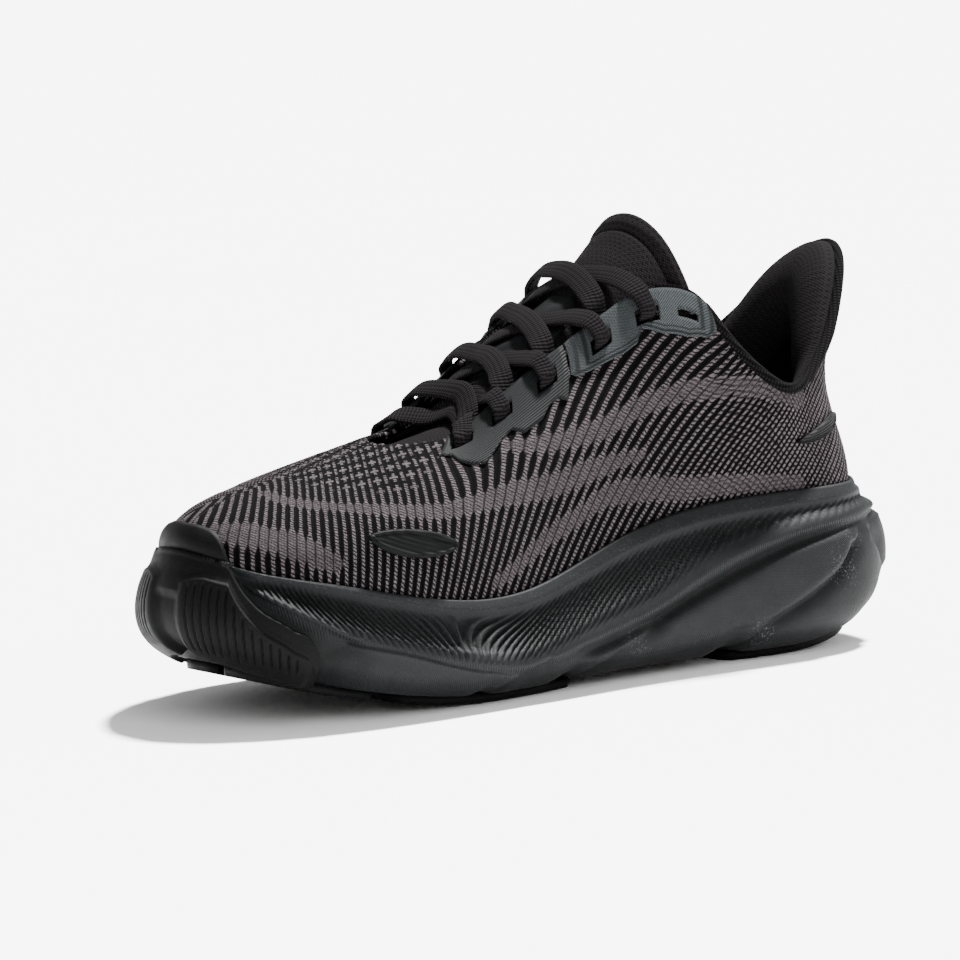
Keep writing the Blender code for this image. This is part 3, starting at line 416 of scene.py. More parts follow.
def lace_points():
    """Centre line of the laced run, with the direction of the lace's width carried along."""
    over = LAYER_GAP + PATCH + 0.0011 + LACE_THICKNESS / 2
    under = -(KNIT + 0.0005 + LACE_THICKNESS / 2)
    rows = SLOT_STATIONS

    def mirror(station, medial):
        return station if medial else STATIONS - station

    def into_slot(row, medial, drift):
        """From the throat edge over the eyestay, down through the slot, and back under it to the edge."""
        come = rows[row] - drift[0]
        leave = rows[row] + drift[1]
        steps = (
            (come, 0.0005, over), (0.4 * come + 0.6 * rows[row], 0.0048, over),
            (rows[row], 0.0080, over * 0.80),
            (rows[row], SLOT_FROM_EDGE + 0.0006, -KNIT / 2), (rows[row], 0.0080, under * 1.02),
            (0.6 * rows[row] + 0.4 * leave, 0.0046, under), (leave, 0.0002, under),
        )
        found = [off_skin(mirror(s, medial), d, h) for s, d, h in steps]
        if not medial:
            for point in found:
                point[3:] *= -1
        return found

    def crossing(row, upper, from_medial):
        """The strand over the tongue between two rows, clear of the one that it crosses."""
        gap_between = rows[row + 1] - rows[row]
        clear = LACE_THICKNESS / 2 + 0.0007 + (OVERLAY + LAYER_GAP if row else 0.0)
        lift = LACE_THICKNESS + 0.0006 if upper else 0.0
        found = []
        for share, extra in ((0.12, 0.0005), (0.28, 0.0003), (0.5, 0.0002), (0.72, 0.0006), (0.88, 0.0026)):
            station = rows[row] + gap_between * (0.1 + 0.8 * share)
            across = share if from_medial else 1 - share
            found.append(over_tongue(station, across, clear + lift + extra))
        return found

    def strand(medial_start):
        medial = medial_start
        found = []
        for row in range(len(rows) - 1):
            gap_below = rows[row + 1] - rows[row]
            drift_in = 0.0 if row == 0 else 0.10 * (rows[row] - rows[row - 1])
            if row:
                found += into_slot(row, medial, (drift_in, 0.10 * gap_below))
            found += crossing(row, medial_start == (row % 2 == 0), medial)
            medial = not medial
        last = len(rows) - 1
        found += into_slot(last, medial, (0.10 * (rows[last] - rows[last - 1]), 0.0))[:5]
        for distance, deeper in ((0.0130, 0.0002), (0.0190, 0.0012), (0.0230, 0.0028)):
            point = off_skin(mirror(rows[last], medial), distance, under - deeper)
            if not medial:
                point[3:] *= -1
            found.append(point)
        return found

    first = into_slot(0, True, (0.0, 0.10 * (rows[1] - rows[0])))
    other = into_slot(0, False, (0.0, 0.10 * (rows[1] - rows[0])))
    bar = [over_tongue(rows[0], across, LACE_THICKNESS / 2 + 0.0018) for across in (0.80, 0.5, 0.20)]
    lateral_half = list(reversed(strand(False)))
    medial_half = strand(True)
    return np.array(lateral_half + list(reversed(other)) + bar + first + medial_half)


# ---------------------------------------------------------------- meshes
def folded(station):
    """The station's counterpart on the medial side, 0 at the toe to 8 at the heel."""
    s = np.mod(np.asarray(station, float), STATIONS)
    return np.minimum(s, STATIONS - s)


def profile(*rows):
    """A smooth function of the folded station through rows of (station, value)."""
    return lambda s: smooth_interp(np.clip(s, rows[0][0], rows[-1][0]), rows)[..., 0]


def corners(*rows):
    """A function of the folded station with straight stretches and corners."""
    at, value = zip(*rows)
    return lambda s: np.interp(s, at, value)


def link(thing):
    bpy.context.scene.collection.objects.link(thing)


def mesh_object(name, points, quads, finish, uv=None, values=None, merge=False):
    """A mesh piece from points in design coordinates; uv and values hold one row per point."""
    used = np.unique(quads)
    renumber = np.zeros(len(points), int)
    renumber[used] = np.arange(len(used))
    quads, co = renumber[quads], points[used] - np.array(MIDDLE)
    a, b, c, d = (co[quads[:, k]] for k in range(4))
    volume = (np.einsum("ij,ij->i", a, np.cross(b, c)) + np.einsum("ij,ij->i", a, np.cross(c, d))).sum()
    if volume < 0:
        quads = quads[:, ::-1]
    mesh = bpy.data.meshes.new(name)
    mesh.from_pydata(co, [], quads)
    if uv is not None:
        layer = mesh.uv_layers.new(name="pattern")
        layer.data.foreach_set("uv", uv[used][quads.ravel()].astype(np.float32).ravel())
    for key, value in (values or {}).items():
        attribute = mesh.attributes.new(key, "FLOAT", "POINT")
        attribute.data.foreach_set("value", np.ascontiguousarray(value[used], np.float32))
    if merge:
        work = bmesh.new()
        work.from_mesh(mesh)
        bmesh.ops.remove_doubles(work, verts=work.verts, dist=2e-6)
        bmesh.ops.dissolve_degenerate(work, edges=work.edges, dist=1e-7)
        work.to_mesh(mesh)
        work.free()
    mesh.shade_smooth()
    mesh.materials.append(finish)
    piece = bpy.data.objects.new(name, mesh)
    link(piece)
    return piece


def grid_quads(rows, columns, keep=None):
    i = np.arange(rows - 1)[:, None]
    j = np.arange(columns - 1)[None, :]
    a, b = i * columns + j, (i + 1) * columns + j
    quads = np.stack([a, b, b + 1, a + 1], -1)
    return quads.reshape(-1, 4) if keep is None else quads[keep]


def shell(name, outer, inner, finish, keep=None, uv=None, values=None, merge=False):
    """A closed sheet between two matching grids of points; cells where keep is False are open."""
    rows, columns = outer.shape[:2]
    quads = grid_quads(rows, columns, keep)
    edges = np.concatenate([quads[:, [k, (k + 1) % 4]] for k in range(4)])
    count = rows * columns
    rim = edges[~np.isin(edges[:, 0] * count + edges[:, 1], edges[:, 1] * count + edges[:, 0])]
    sides = np.stack([rim[:, 1], rim[:, 0], rim[:, 0] + count, rim[:, 1] + count], 1)
    faces = np.concatenate([quads, quads[:, ::-1] + count, sides])
    points = np.concatenate([outer.reshape(-1, 3), inner.reshape(-1, 3)])
    both = {key: np.tile(value.ravel(), 2) for key, value in (values or {}).items()}
    flat = None if uv is None else np.tile(uv.reshape(-1, 2), (2, 1))
    return mesh_object(name, points, faces, finish, flat, both, merge)


def tube(name, path, finish, width, thickness, across=None, sides=16, power=1.0, values=None):
    """A cord along a path, round or flattened, with rounded ends and its pattern laid along it."""
    along = unit(np.gradient(path, axis=0))
    if across is None:
        across = np.cross(along, (0.0, 0.0, 1.0))
    across = unit(across - (across * along).sum(1, keepdims=True) * along)
    up = np.cross(across, along)
    run = running_length(path)
    end = np.minimum(run, run[-1] - run) / (thickness / 2)
    close = np.sqrt(np.clip(1 - (1 - np.clip(end, 0.04, 1)) ** 2, 0, 1))[:, None]
    turn = np.linspace(0, 2 * math.pi, sides + 1)
    c, s = np.cos(turn), np.sin(turn)
    c, s = np.sign(c) * np.abs(c) ** power, np.sign(s) * np.abs(s) ** power
    rings = (
        path[:, None]
        + across[:, None] * (close * c * width / 2)[..., None]
        + up[:, None] * (close * s * thickness / 2)[..., None]
    )
    first, last = np.repeat(path[:1, None], sides + 1, 1), np.repeat(path[-1:, None], sides + 1, 1)
    rings = np.concatenate([first, rings, last])
    run = np.concatenate([run[:1], run, run[-1:]])
    uv = pair(run[:, None] / MM, turn[None, :] * np.max(width) / math.pi / MM)
    quads = grid_quads(*rings.shape[:2])
    return mesh_object(name, rings.reshape(-1, 3), quads, finish, uv.reshape(-1, 2), values, merge=True)


# ---------------------------------------------------------------- materials
def put(socket, value):
    """Links a term to the socket, or sets the socket's own value."""
    if isinstance(value, Term):
        value.surface.tree.links.new(value.socket, socket)
    else:
        socket.default_value = (*value, 1) if isinstance(value, tuple) else value


class Term:
    """A value in a material's node tree; arithmetic with it adds math nodes."""

    def __init__(self, surface, socket):
        self.surface, self.socket = surface, socket

    def math(self, operation, *others):
        return self.surface.make("Math", dict(enumerate((self, *others))), operation=operation)

    def __add__(self, other):
        return self.math("ADD", other)

    def __sub__(self, other):
        return self.math("SUBTRACT", other)

    def __mul__(self, other):
        return self.math("MULTIPLY", other)

    def __truediv__(self, other):
        return self.math("DIVIDE", other)

    def __rsub__(self, other):
        return self.surface.make("Math", {0: other, 1: self}, operation="SUBTRACT")

    def __abs__(self):
        return self.math("ABSOLUTE")


class Surface:
    """A Principled material and the sources from which its pattern is put together."""

    def __init__(self, name, roughness, specular):
        self.material = bpy.data.materials.new(name)
        self.material.use_nodes = True
        self.tree = self.material.node_tree
        self.shader = self.tree.nodes["Principled BSDF"]
        self.shader.inputs["Roughness"].default_value = roughness
        self.shader.inputs["Specular IOR Level"].default_value = specular

    def make(self, kind, inputs, output=0, **settings):
        """A node with its settings and inputs; returns one of its outputs."""
        node = self.tree.nodes.new("ShaderNode" + kind)
        for key, value in settings.items():
            setattr(node, key, value)
        for key, value in inputs.items():
            put(node.inputs[key], value)
        return Term(self, node.outputs[output])

    def step(self, value, low, high, to_low=0.0, to_high=1.0):
        limits = {"From Min": low, "From Max": high, "To Min": to_low, "To Max": to_high}
        return self.make("MapRange", {"Value": value, **limits}, interpolation_type="SMOOTHSTEP")

    def clamp(self, value):
        return self.make("Clamp", {"Value": value})

    def blend(self, factor, low, high):
        return self.make("Mix", {0: factor, 2: low, 3: high}, data_type="FLOAT")

    def colour(self, factor, low, high):
        return self.make("Mix", {0: factor, 6: low, 7: high}, 2, data_type="RGBA")

    def pattern(self):
        """The two coordinates of the piece's own pattern."""
        first = self.make("SeparateXYZ", {0: self.make("UVMap", {}, uv_map="pattern")})
        return first, Term(self, first.socket.node.outputs[1])

    def value(self, name):
        return self.make("Attribute", {}, "Fac", attribute_name=name)

    def noise(self, scale, detail=2.0):
        place = self.make("TexCoord", {}, "Object")
        return self.make("TexNoise", {"Vector": place, "Scale": scale, "Detail": detail}, "Fac")

    def ripple(self, coordinate, pitch, sharp=1.0):
        """A wave from 0 to 1 and back over each pitch."""
        wave = (coordinate * (2 * math.pi / pitch)).math("SINE")
        return (wave * 0.5 + 0.5).math("POWER", sharp)

    def finish(self, colour, roughness=None, height=None, relief=0.0, strength=0.9):
        """Sets the shader's colour, roughness and bumps, as far as given; returns the material."""
        put(self.shader.inputs["Base Color"], colour)
        if roughness is not None:
            put(self.shader.inputs["Roughness"], roughness)
        if height is not None:
            bump = self.make("Bump", {"Height": height, "Distance": relief, "Strength": strength})
            put(self.shader.inputs["Normal"], bump)
        return self.material


# The third foam colour is a painted highlight for the glints; the mix of dark and light carries painted
# shade as well as mottle.
FOAM_DARK, FOAM_LIGHT, FOAM_PAINTED_GLINT = (0.0003, 0.0004, 0.0004), (0.0070, 0.0078, 0.0084), (0.060, 0.063, 0.065)
YARN_DARK, YARN_BACK, YARN_LIGHT = (0.0004, 0.00035, 0.0004), (0.0022, 0.0019, 0.0020), (0.066, 0.056, 0.059)
BLOCK_PITCH = 7.6            # mm between the blocks of the forefoot's knit
HOLLOW_ACROSS, HOLLOW_ALONG = 1.7, 1.5
LACE_ROUND = 6.6             # mm of the lace's pattern from one of its edges to the other


def foam_finish():
    """Matte moulded foam: fine fluting, faint diagonal lines on the facets, painted shade in its grooves and
    painted highlight glints on its ridges.
    """
    s = Surface("foam_moulded", 0.6, 0.08)
    along, up = s.pattern()
    grain, mottle = s.noise(1900.0), s.noise(160.0, 3.0)
    flute = s.ripple(along + up * 0.35, 1.05) * s.value("flute")
    facet = s.ripple(along + up * 0.8, 0.85) * s.value("facet")
    glint = s.step(s.noise(1500.0, 3.0), 0.56, 0.70) * s.value("painted_glint")
    # painted shade: darker in the fan's grooves and recesses, lighter where the side stands out
    colour = s.colour(mottle * 0.5 + s.value("painted_relief_shade") * 0.55, FOAM_DARK, FOAM_LIGHT)
    # painted highlight: pale glints mixed into the colour on the ridges, the lip band and a few spots
    colour = s.colour(glint * 0.65, colour, FOAM_PAINTED_GLINT)
    return s.finish(colour, grain * 0.24 + 0.48, flute * 0.9 + facet * 0.35 + grain * 0.40, 0.00028)


def rubber_finish(name="rubber_moulded", level=1.0):
    """Dusty black rubber; the level makes it lighter."""
    s = Surface(name, 0.6, 0.05)
    mottle, dust = s.noise(240.0, 4.0), s.step(s.noise(60.0, 4.0), 0.45, 0.75)
    colour = s.colour(dust * 0.5 + mottle * 0.4, (0.0008 * level,) * 3, (0.0030 * level,) * 3)
    return s.finish(colour, mottle * 0.25 + 0.48, s.noise(2600.0), 0.00014, 0.8)


def knit_finish():
    """Engineered knit: slanting rows of light stitches on black, closing up into dense bands."""
    s = Surface("engineered_knit", 0.9, 0.03)
    across, along = s.pattern()
    across = across + (s.noise(420.0) * 0.16 - 0.08)

    def stitches(row_scale, pitch, half_width, slant):
        """Slanting stitches one after another in rows, and the number of their row."""
        rows = across * row_scale
        side = rows.math("FRACT") - 0.5
        place = (along / pitch + s.noise(900.0, 1.0) * 0.9 + side * slant).math("FRACT")
        ahead, edge = abs((place - 0.5) * 2.0), abs(side / half_width)
        light = s.step(ahead, 0.34, 0.96, 1.0, 0.04) * s.step(edge, 0.62, 1.12, 1.0, 0.0)
        return light, rows.math("FLOOR")

    dense = s.clamp(s.value("dense") * (s.noise(330.0, 3.0) * 0.9 + 0.55))
    wide, row = stitches(1.0, 1.35, s.blend(dense, 0.235, 0.47), 1.7)
    narrow, _ = stitches(3.0, 0.95, 0.46, 0.7)
    purl, _ = stitches(2.0, 0.9, 0.40, -0.7)
    block = (along / BLOCK_PITCH).math("FRACT")
    gap = s.step(block, 0.0, 0.04) * s.step(block, 0.24, 0.28, 1.0, 0.0)
    every_other = ((row + 0.5) * 0.5).math("FRACT").math("GREATER_THAN", 0.5)
    bar = s.step(block, 0.56, 0.60) * s.step(block, 0.76, 0.80, 1.0, 0.0) * every_other * 0.75
    blocked = (wide * (1.0 - gap)).math("MAXIMUM", bar)
    wide = s.blend(s.value("blocks"), wide, blocked)
    light = s.blend(s.step(dense, 0.60, 1.0, 0.0, 0.5), wide, narrow * 0.50 + 0.14)
    fuzz = s.noise(2400.0, 3.0)
    amount = s.clamp(light * (fuzz * 0.9 + (s.noise(90.0, 3.0) * 0.5 + 0.22)))
    colour = s.colour(amount, s.colour(purl * 0.35, YARN_DARK, YARN_BACK), YARN_LIGHT)
    return s.finish(colour, None, light * 0.75 + purl * 0.22 + fuzz * 0.16, 0.00075, 1.0)


def cloth_finish(name, dark, light, pitch=(1.3, 1.1)):
    """A small even knit."""
    s = Surface(name, 0.9, 0.03)
    a, b = s.pattern()
    weave = s.ripple(a + b * 0.5, pitch[0], 0.8) * s.ripple(b - a * 0.15, pitch[1], 0.8)
    fuzz = s.noise(2600.0, 3.0)
    shade = weave * (fuzz * 0.8 + s.noise(70.0, 3.0) * 0.6)
    return s.finish(s.colour(shade, dark, light), None, weave + fuzz * 0.3, 0.00035)


def mesh_knit_finish():
    """Black spacer mesh with small round hollows, for the tongue and the inside of the collar."""
    s = Surface("spacer_mesh", 0.92, 0.03)
    a, b = s.pattern()
    rows = b / HOLLOW_ALONG
    dx = (a / HOLLOW_ACROSS + rows.math("FLOOR") * 0.5).math("FRACT") - 0.5
    dy = rows.math("FRACT") - 0.5
    hollow = s.step((dx * dx + dy * dy).math("SQRT"), 0.10, 0.40, 1.0, 0.0) * 0.45
    ribs = s.ripple(a + b, 0.8, 0.8) * s.ripple(a - b, 0.8, 0.8)
    # painted shade: the colour is darker in the round hollows
    shade = (ribs * 0.7 + s.noise(2400.0, 3.0) * 0.5) * (1.0 - hollow)
    colour = s.colour(shade, (0.0004, 0.00035, 0.0004), (0.0120, 0.0106, 0.0113))
    return s.finish(colour, None, hollow * -0.8 + ribs * 0.35, 0.0005)


def film_finish(name="welded_film", dark=(0.0012, 0.0014, 0.0015), light=(0.0072, 0.0078, 0.0080)):
    """Thin matte film with the knit's lines telling through it."""
    s = Surface(name, 0.6, 0.05)
    a, b = s.pattern()
    lines = s.ripple(b + a * 0.12, 1.25, 0.7)
    grain, cloud = s.noise(1700.0), s.noise(110.0, 3.0)
    colour = s.colour(lines * 0.30 + (cloud * 0.55 + grain * 0.15), dark, light)
    return s.finish(colour, cloud * 0.2 + 0.50, lines + grain * 0.4, 0.00018, 0.8)


def woven_finish():
    """Grey twill patch with two rows of stitching inside its edge."""
    s = Surface("woven_twill", 0.8, 0.05)
    a, b = s.pattern()
    twill = s.ripple(a + b, 0.95, 0.8) * s.ripple(a - b * 2.0, 1.1, 0.7)
    fuzz, edge = s.noise(2300.0, 3.0), s.value("edge")
    outer_row = s.step(abs(edge - 1.0), 0.15, 0.55, 1.0, 0.0)
    seam = outer_row.math("MAXIMUM", s.step(abs(edge - 2.5), 0.12, 0.45, 1.0, 0.0))
    shade = (twill * 0.9 + 0.15) * (fuzz + 0.35)
    colour = s.colour(shade, (0.0016, 0.0019, 0.0021), (0.060, 0.068, 0.071))
    colour = s.colour(seam * 0.75, colour, (0.0020, 0.0022, 0.0024))
    return s.finish(colour, None, twill + fuzz * 0.3 - seam * 0.7, 0.0003)


def lace_finish():
    """Flat tubular lace: a rib across it every millimetre, of two crossing yarns."""
    s = Surface("lace_braid", 0.88, 0.03)
    along, around = s.pattern()
    centre = abs((around + LACE_ROUND / 2).math("MODULO", LACE_ROUND) - LACE_ROUND / 2)
    ribs = s.ripple(along + centre * 0.22, 1.15, 0.7) * 0.8 + s.ripple(around, 0.85, 0.8) * 0.35
    fuzz = s.noise(2500.0, 3.0)
    colour = s.colour(ribs * 0.75 * (fuzz + 0.2), (0.0002, 0.0002, 0.0002), (0.0130, 0.0112, 0.0120))
    return s.finish(colour, None, ribs + fuzz * 0.2, 0.00042)


def plain_finish(name, dark, light, roughness, scale=500.0):
    s = Surface(name, roughness, 0.4)
    shade = s.noise(scale, 4.0)
    return s.finish(s.colour(shade, dark, light), None, shade, 0.0001, 0.5)


# ---------------------------------------------------------------- foam sole
def foam_underside(x):
    return ground(x) + RUBBER + GAP


def wall_height(station):
    """Foam from its underside to its lip, at a station."""
    plan = outline_at(station)
    return lip_height_at(station)[..., 0] - foam_underside(plan[..., 0])


def wall_inset(low, deep, tuck):
    """How far the foam's side lies inside the outline, this far over its bottom edge and under its lip."""
    at_lip = np.exp(-((np.clip(deep, 0, None) / 0.0125) ** 1.6))
    return 0.0110 * np.exp(-low / 0.0050) + (0.0075 + tuck) * at_lip


def wall_point(station, t, stand_out=0.0):
    """A point on the foam's side: t is 0 at its underside, 1 at its lip."""
    station, t = np.broadcast_arrays(station, t)
    height = wall_height(station)
    inset = wall_inset(t * height, (1 - t) * height, heel_tuck(station)) - stand_out
    plan = outline_at(station) - outward(station) * inset[..., None]
    z = foam_underside(outline_at(station)[..., 0]) + t * height
    return np.concatenate([plan, z[..., None]], -1)


def count_along(places, lengths, pitch):
    """How many pitches fit up to each place, for a pitch that changes on the way."""
    return np.concatenate([[0], np.cumsum(np.diff(lengths) / pitch((places[1:] + places[:-1]) / 2))])


RUN_STATIONS = np.linspace(0, HEEL, 400)
RUN_LENGTHS = running_length(outline_at(RUN_STATIONS))
FAN_PITCH = profile((0, 2.7), (2.5, 2.9), (3.6, 3.2), (4.6, 4.4), (8, 4.6))  # mm, by station
FAN_COUNT = count_along(RUN_STATIONS, RUN_LENGTHS / MM, FAN_PITCH)


def sole_run(station):
    """Millimetres along the sole's outline from the toe."""
    return np.interp(folded(station), RUN_STATIONS, RUN_LENGTHS) / MM


# The relief of the foam's side: levels are t over the station.
BAND_LOW = profile(
    (0.5, 0.97), (0.9, 0.95), (1.6, 0.93), (2.3, 0.90), (3.0, 0.87), (3.8, 0.85), (4.5, 0.87), (5.5, 0.88),
    (6.8, 0.90), (8, 0.91),
)
FAN_LOW = profile(
    (0.8, 0.82), (1.2, 0.78), (1.84, 0.64), (2.3, 0.57), (2.8, 0.52), (3.8, 0.45), (4.5, 0.55), (5.04, 0.60),
    (5.5, 0.71), (5.9, 0.79), (6.3, 0.82), (6.8, 0.84), (8, 0.85),
)
ROLL_CREST = profile(
    (0.9, 0.87), (1.06, 0.84), (1.6, 0.62), (2.1, 0.54), (2.56, 0.49), (3.04, 0.42), (3.8, 0.30),
    (4.2, 0.36), (4.54, 0.41), (5.04, 0.47), (5.5, 0.61), (5.92, 0.71), (6.3, 0.77), (6.8, 0.79), (8, 0.79),
)
VALLEY = profile(
    (4.0, 0.22), (4.54, 0.29), (5.04, 0.36), (5.5, 0.48), (5.9, 0.59), (6.3, 0.69), (6.7, 0.74), (8, 0.73),
)
FACET_LOW = profile(
    (4.4, 0.15), (4.68, 0.14), (5.26, 0.11), (5.7, 0.16), (6.0, 0.22), (6.3, 0.31), (6.58, 0.46),
    (6.74, 0.60),
)
LEDGE_TOP = profile((1.9, 0.49), (2.08, 0.47), (2.56, 0.44), (3.04, 0.35), (3.54, 0.25), (3.8, 0.20))
PANEL_TOP = profile((0.88, 0.85), (1.32, 0.73), (1.7, 0.61), (2.08, 0.49), (2.3, 0.47))
CREASES = (  # a line of (station, t), and the depth in mm
    (((1.50, 0.02), (1.58, 0.14), (1.84, 0.34), (2.08, 0.49)), 0.8),
    (((3.46, -0.02), (3.64, 0.13), (3.84, 0.23), (3.96, 0.28)), 1.5),
    (((4.36, -0.02), (4.66, 0.16), (4.90, 0.24), (5.08, 0.33)), 1.7),
    (((5.84, -0.02), (5.90, 0.05), (6.10, 0.21), (6.40, 0.36), (6.60, 0.46), (6.74, 0.60)), 2.2),
    (((7.00, -0.02), (7.06, 0.08), (7.32, 0.34), (7.20, 0.50), (7.06, 0.62)), 1.8),
)
# station, width in stations and rise in mm of the notches in the bottom edge
NOTCHES = ((3.42, 0.09, 1.2), (4.32, 0.10, 2.6), (5.80, 0.11, 2.8), (7.0, 0.09, 1.4))
# station, t and reach in mm of the spots of painted highlight glints
PAINTED_GLINT_SPOTS = ((6.02, 0.13, 5.0), (6.62, 0.50, 6.5), (4.86, 0.22, 4.5), (6.75, 0.66, 5.0))


def from_segment(x, y, start, end):
    """How far along the segment its nearest point is, the distance to it, and the side: 1 right, -1 left."""
    (x0, y0), (x1, y1) = start, end
    dx, dy = x1 - x0, y1 - y0
    f = np.clip(((x - x0) * dx + (y - y0) * dy) / (dx * dx + dy * dy), 0, 1)
    return f, np.hypot(x - x0 - f * dx, y - y0 - f * dy), np.sign((x - x0) * dy - (y - y0) * dx)


def line_distance(run, height, line):
    """Millimetres from each point of the side to a line of (station, t), and its side: 1 nearer the heel."""
    knots = [(sole_run(s), t * float(wall_height(s)) / MM) for s, t in line]
    best = np.full(run.shape, 1e9)
    side = np.zeros(run.shape)
    for start, end in zip(knots[:-1], knots[1:]):
        _, gap, here = from_segment(run, height, start, end)
        side = np.where(gap < best, here, side)
        best = np.minimum(gap, best)
    return best, side


def between(s, low, high, soft=0.25):
    return soft_step((s - low) / soft + 0.5) * soft_step((high - s) / soft + 0.5)


# millimetres that each feature of the foam's side stands out or is cut in
BAND_OUT, FAN_IN, FAN_RIDGE, ROLL_OUT, VALLEY_IN, FACET_OUT = 1.1, 1.9, 2.9, 1.9, 1.9, 1.5
LEDGE_OUT, PANEL_IN, PANEL_EDGE, HEEL_BULGE, HEEL_FOOT, HEEL_ROLLS = 1.3, 1.3, 0.7, 2.4, 1.2, 1.1


def foam_relief(station, t):
    """How far the foam's side stands out of its plain wall, in metres, and its masks for the pattern, the
    painted shade and the painted highlight glints.
    """
    s = folded(station)
    tall = wall_height(station) / MM
    height = t * tall
    run = sole_run(station)
    band, fan, crest, valley = BAND_LOW(s), FAN_LOW(s), ROLL_CREST(s), VALLEY(s)
    in_band = np.clip((t - band) / (1 - band), 0, 1)
    relief = BAND_OUT * soft_step((t - band) * tall / 1.6) * (1 - 0.9 * in_band**3)
    in_fan = (t - fan) / np.maximum(band - fan, 0.02)
    zone = soft_step(in_fan / 0.12 + 0.5) * soft_step((1 - in_fan) / 0.12 + 0.5)
    depth = np.clip((band - fan) * tall / 7.0, 0.45, 1.0)
    relief -= zone * depth * FAN_IN * np.sin(np.clip(in_fan, 0, 1) * math.pi) ** 0.8
    lean = -1.1 + 3.4 * ramp(s, 2.5, 1.7)
    phase = np.interp(s, RUN_STATIONS, FAN_COUNT) - lean * (band - fan) * tall * in_fan / FAN_PITCH(s)
    ridge = np.abs((phase % 1.0) - 0.5) * 2
    strength = soft_step((in_fan + 0.35) / 0.5) * fall(in_fan, 1.0, 0.35) * ramp(s, 0.9, 0.3)
    relief += strength * (FAN_RIDGE - 0.3 * ramp(s, 2.6, 1.0)) * depth * (ridge**0.8 - 0.5)
    roll = np.exp(-(((t - crest) * tall / 3.3) ** 2)) * ramp(s, 0.9, 0.4)
    relief += ROLL_OUT * roll
    dip = np.exp(-(((t - valley) * tall / 2.7) ** 2)) * ramp(s, 3.9, 0.7) * fall(s, 7.6, 0.5)
    relief -= VALLEY_IN * dip
    facet = between(s, 4.45, 6.75) * soft_step((valley - t) * tall / 3.0)
    facet = facet * soft_step((t - FACET_LOW(s)) * tall / 1.8 + 0.5)
    relief += FACET_OUT * facet * (1 - 0.5 * np.clip((valley - t) / 0.4, 0, 1))
    ledge = between(s, 1.95, 3.75) * soft_step((LEDGE_TOP(s) - t) * tall / 1.4)
    relief += LEDGE_OUT * ledge
    panel = between(s, 0.8, 2.15) * soft_step((PANEL_TOP(s) - t) * tall / 1.2)
    relief -= PANEL_IN * panel
    edge_line = between(s, 0.9, 2.1) * np.exp(-(((t - PANEL_TOP(s)) * tall - 0.6) ** 2) / 0.5)
    relief += PANEL_EDGE * edge_line
    for line, cut in CREASES:
        gap, side = line_distance(run, height, line)
        wide = np.where(side > 0, 3.6, 1.5)
        relief -= cut * np.exp(-((gap / wide) ** 2) ** 0.8)
    bulge = ramp(s, 7.15, 0.35) * between(t, 0.30, 0.74, 0.12)
    relief += HEEL_BULGE * bulge - HEEL_FOOT * ramp(s, 7.15, 0.3) * fall(t, 0.28, 0.05)
    rolls = ramp(s, 6.9, 0.6) * between(t, 0.70, 0.97, 0.05)
    relief += rolls * HEEL_ROLLS * np.cos((t - 0.79) / 0.115 * 2 * math.pi)
    # painted highlight glints: a few spots, the crests of the fan's ridges and the lip band
    painted_glint = np.zeros_like(relief)
    for at, level, reach in PAINTED_GLINT_SPOTS:
        middle = level * float(wall_height(at)) / MM
        distance = np.hypot((run - sole_run(at)) * 0.8 + (height - middle) * 0.3, (height - middle) * 0.75)
        painted_glint = np.maximum(painted_glint, np.exp(-((distance / reach) ** 4)))
    # painted highlight along the crests of the fan's ridges
    painted_ridge_glint = strength * ridge**2 * ramp(s, 4.6, 0.6) * fall(s, 6.8, 0.6) * fall(in_fan, 0.75, 0.4)
    painted_glint = np.maximum(painted_glint, np.maximum(painted_ridge_glint * 0.8, in_band * (1 - in_band) * 1.1))
    flute = np.maximum(roll * soft_step((crest + 0.02 - t) * tall / 2.0), dip * 0.8)
    # the mask that follows the relief is painted shade: low in grooves and recesses, high where the side
    # stands out
    masks = {
        "flute": flute, "facet": np.maximum(facet, ledge * 0.7) + 0.25 * (t < 0.2), "painted_glint": painted_glint,
        "painted_relief_shade": np.clip(0.40 + relief * 0.22 - 0.60 * strength * (1 - ridge), 0, 1),
    }
    return relief * MM, masks


# the cap's top edge: t over the station, past 1 where it laps on to the knit
CAP_TOP = profile(
    (0.0, 1.30), (0.25, 1.31), (0.45, 1.29), (0.60, 1.20), (0.70, 1.07), (0.77, 0.94), (0.86, 0.82),
    (1.04, 0.66), (1.42, 0.50), (1.68, 0.34), (1.74, 0.20),
)
CAP_END = 1.74
CAP_GROOVE_PITCH = 2.75      # mm, as are the depths
POD_OUT, GROOVE_IN, HOLLOW_IN = 0.9, 0.85, 1.6


def notch_rise(station):
    s = folded(station)
    return sum(rise * MM * np.exp(-(((s - at) / wide) ** 2)) for at, wide, rise in NOTCHES)


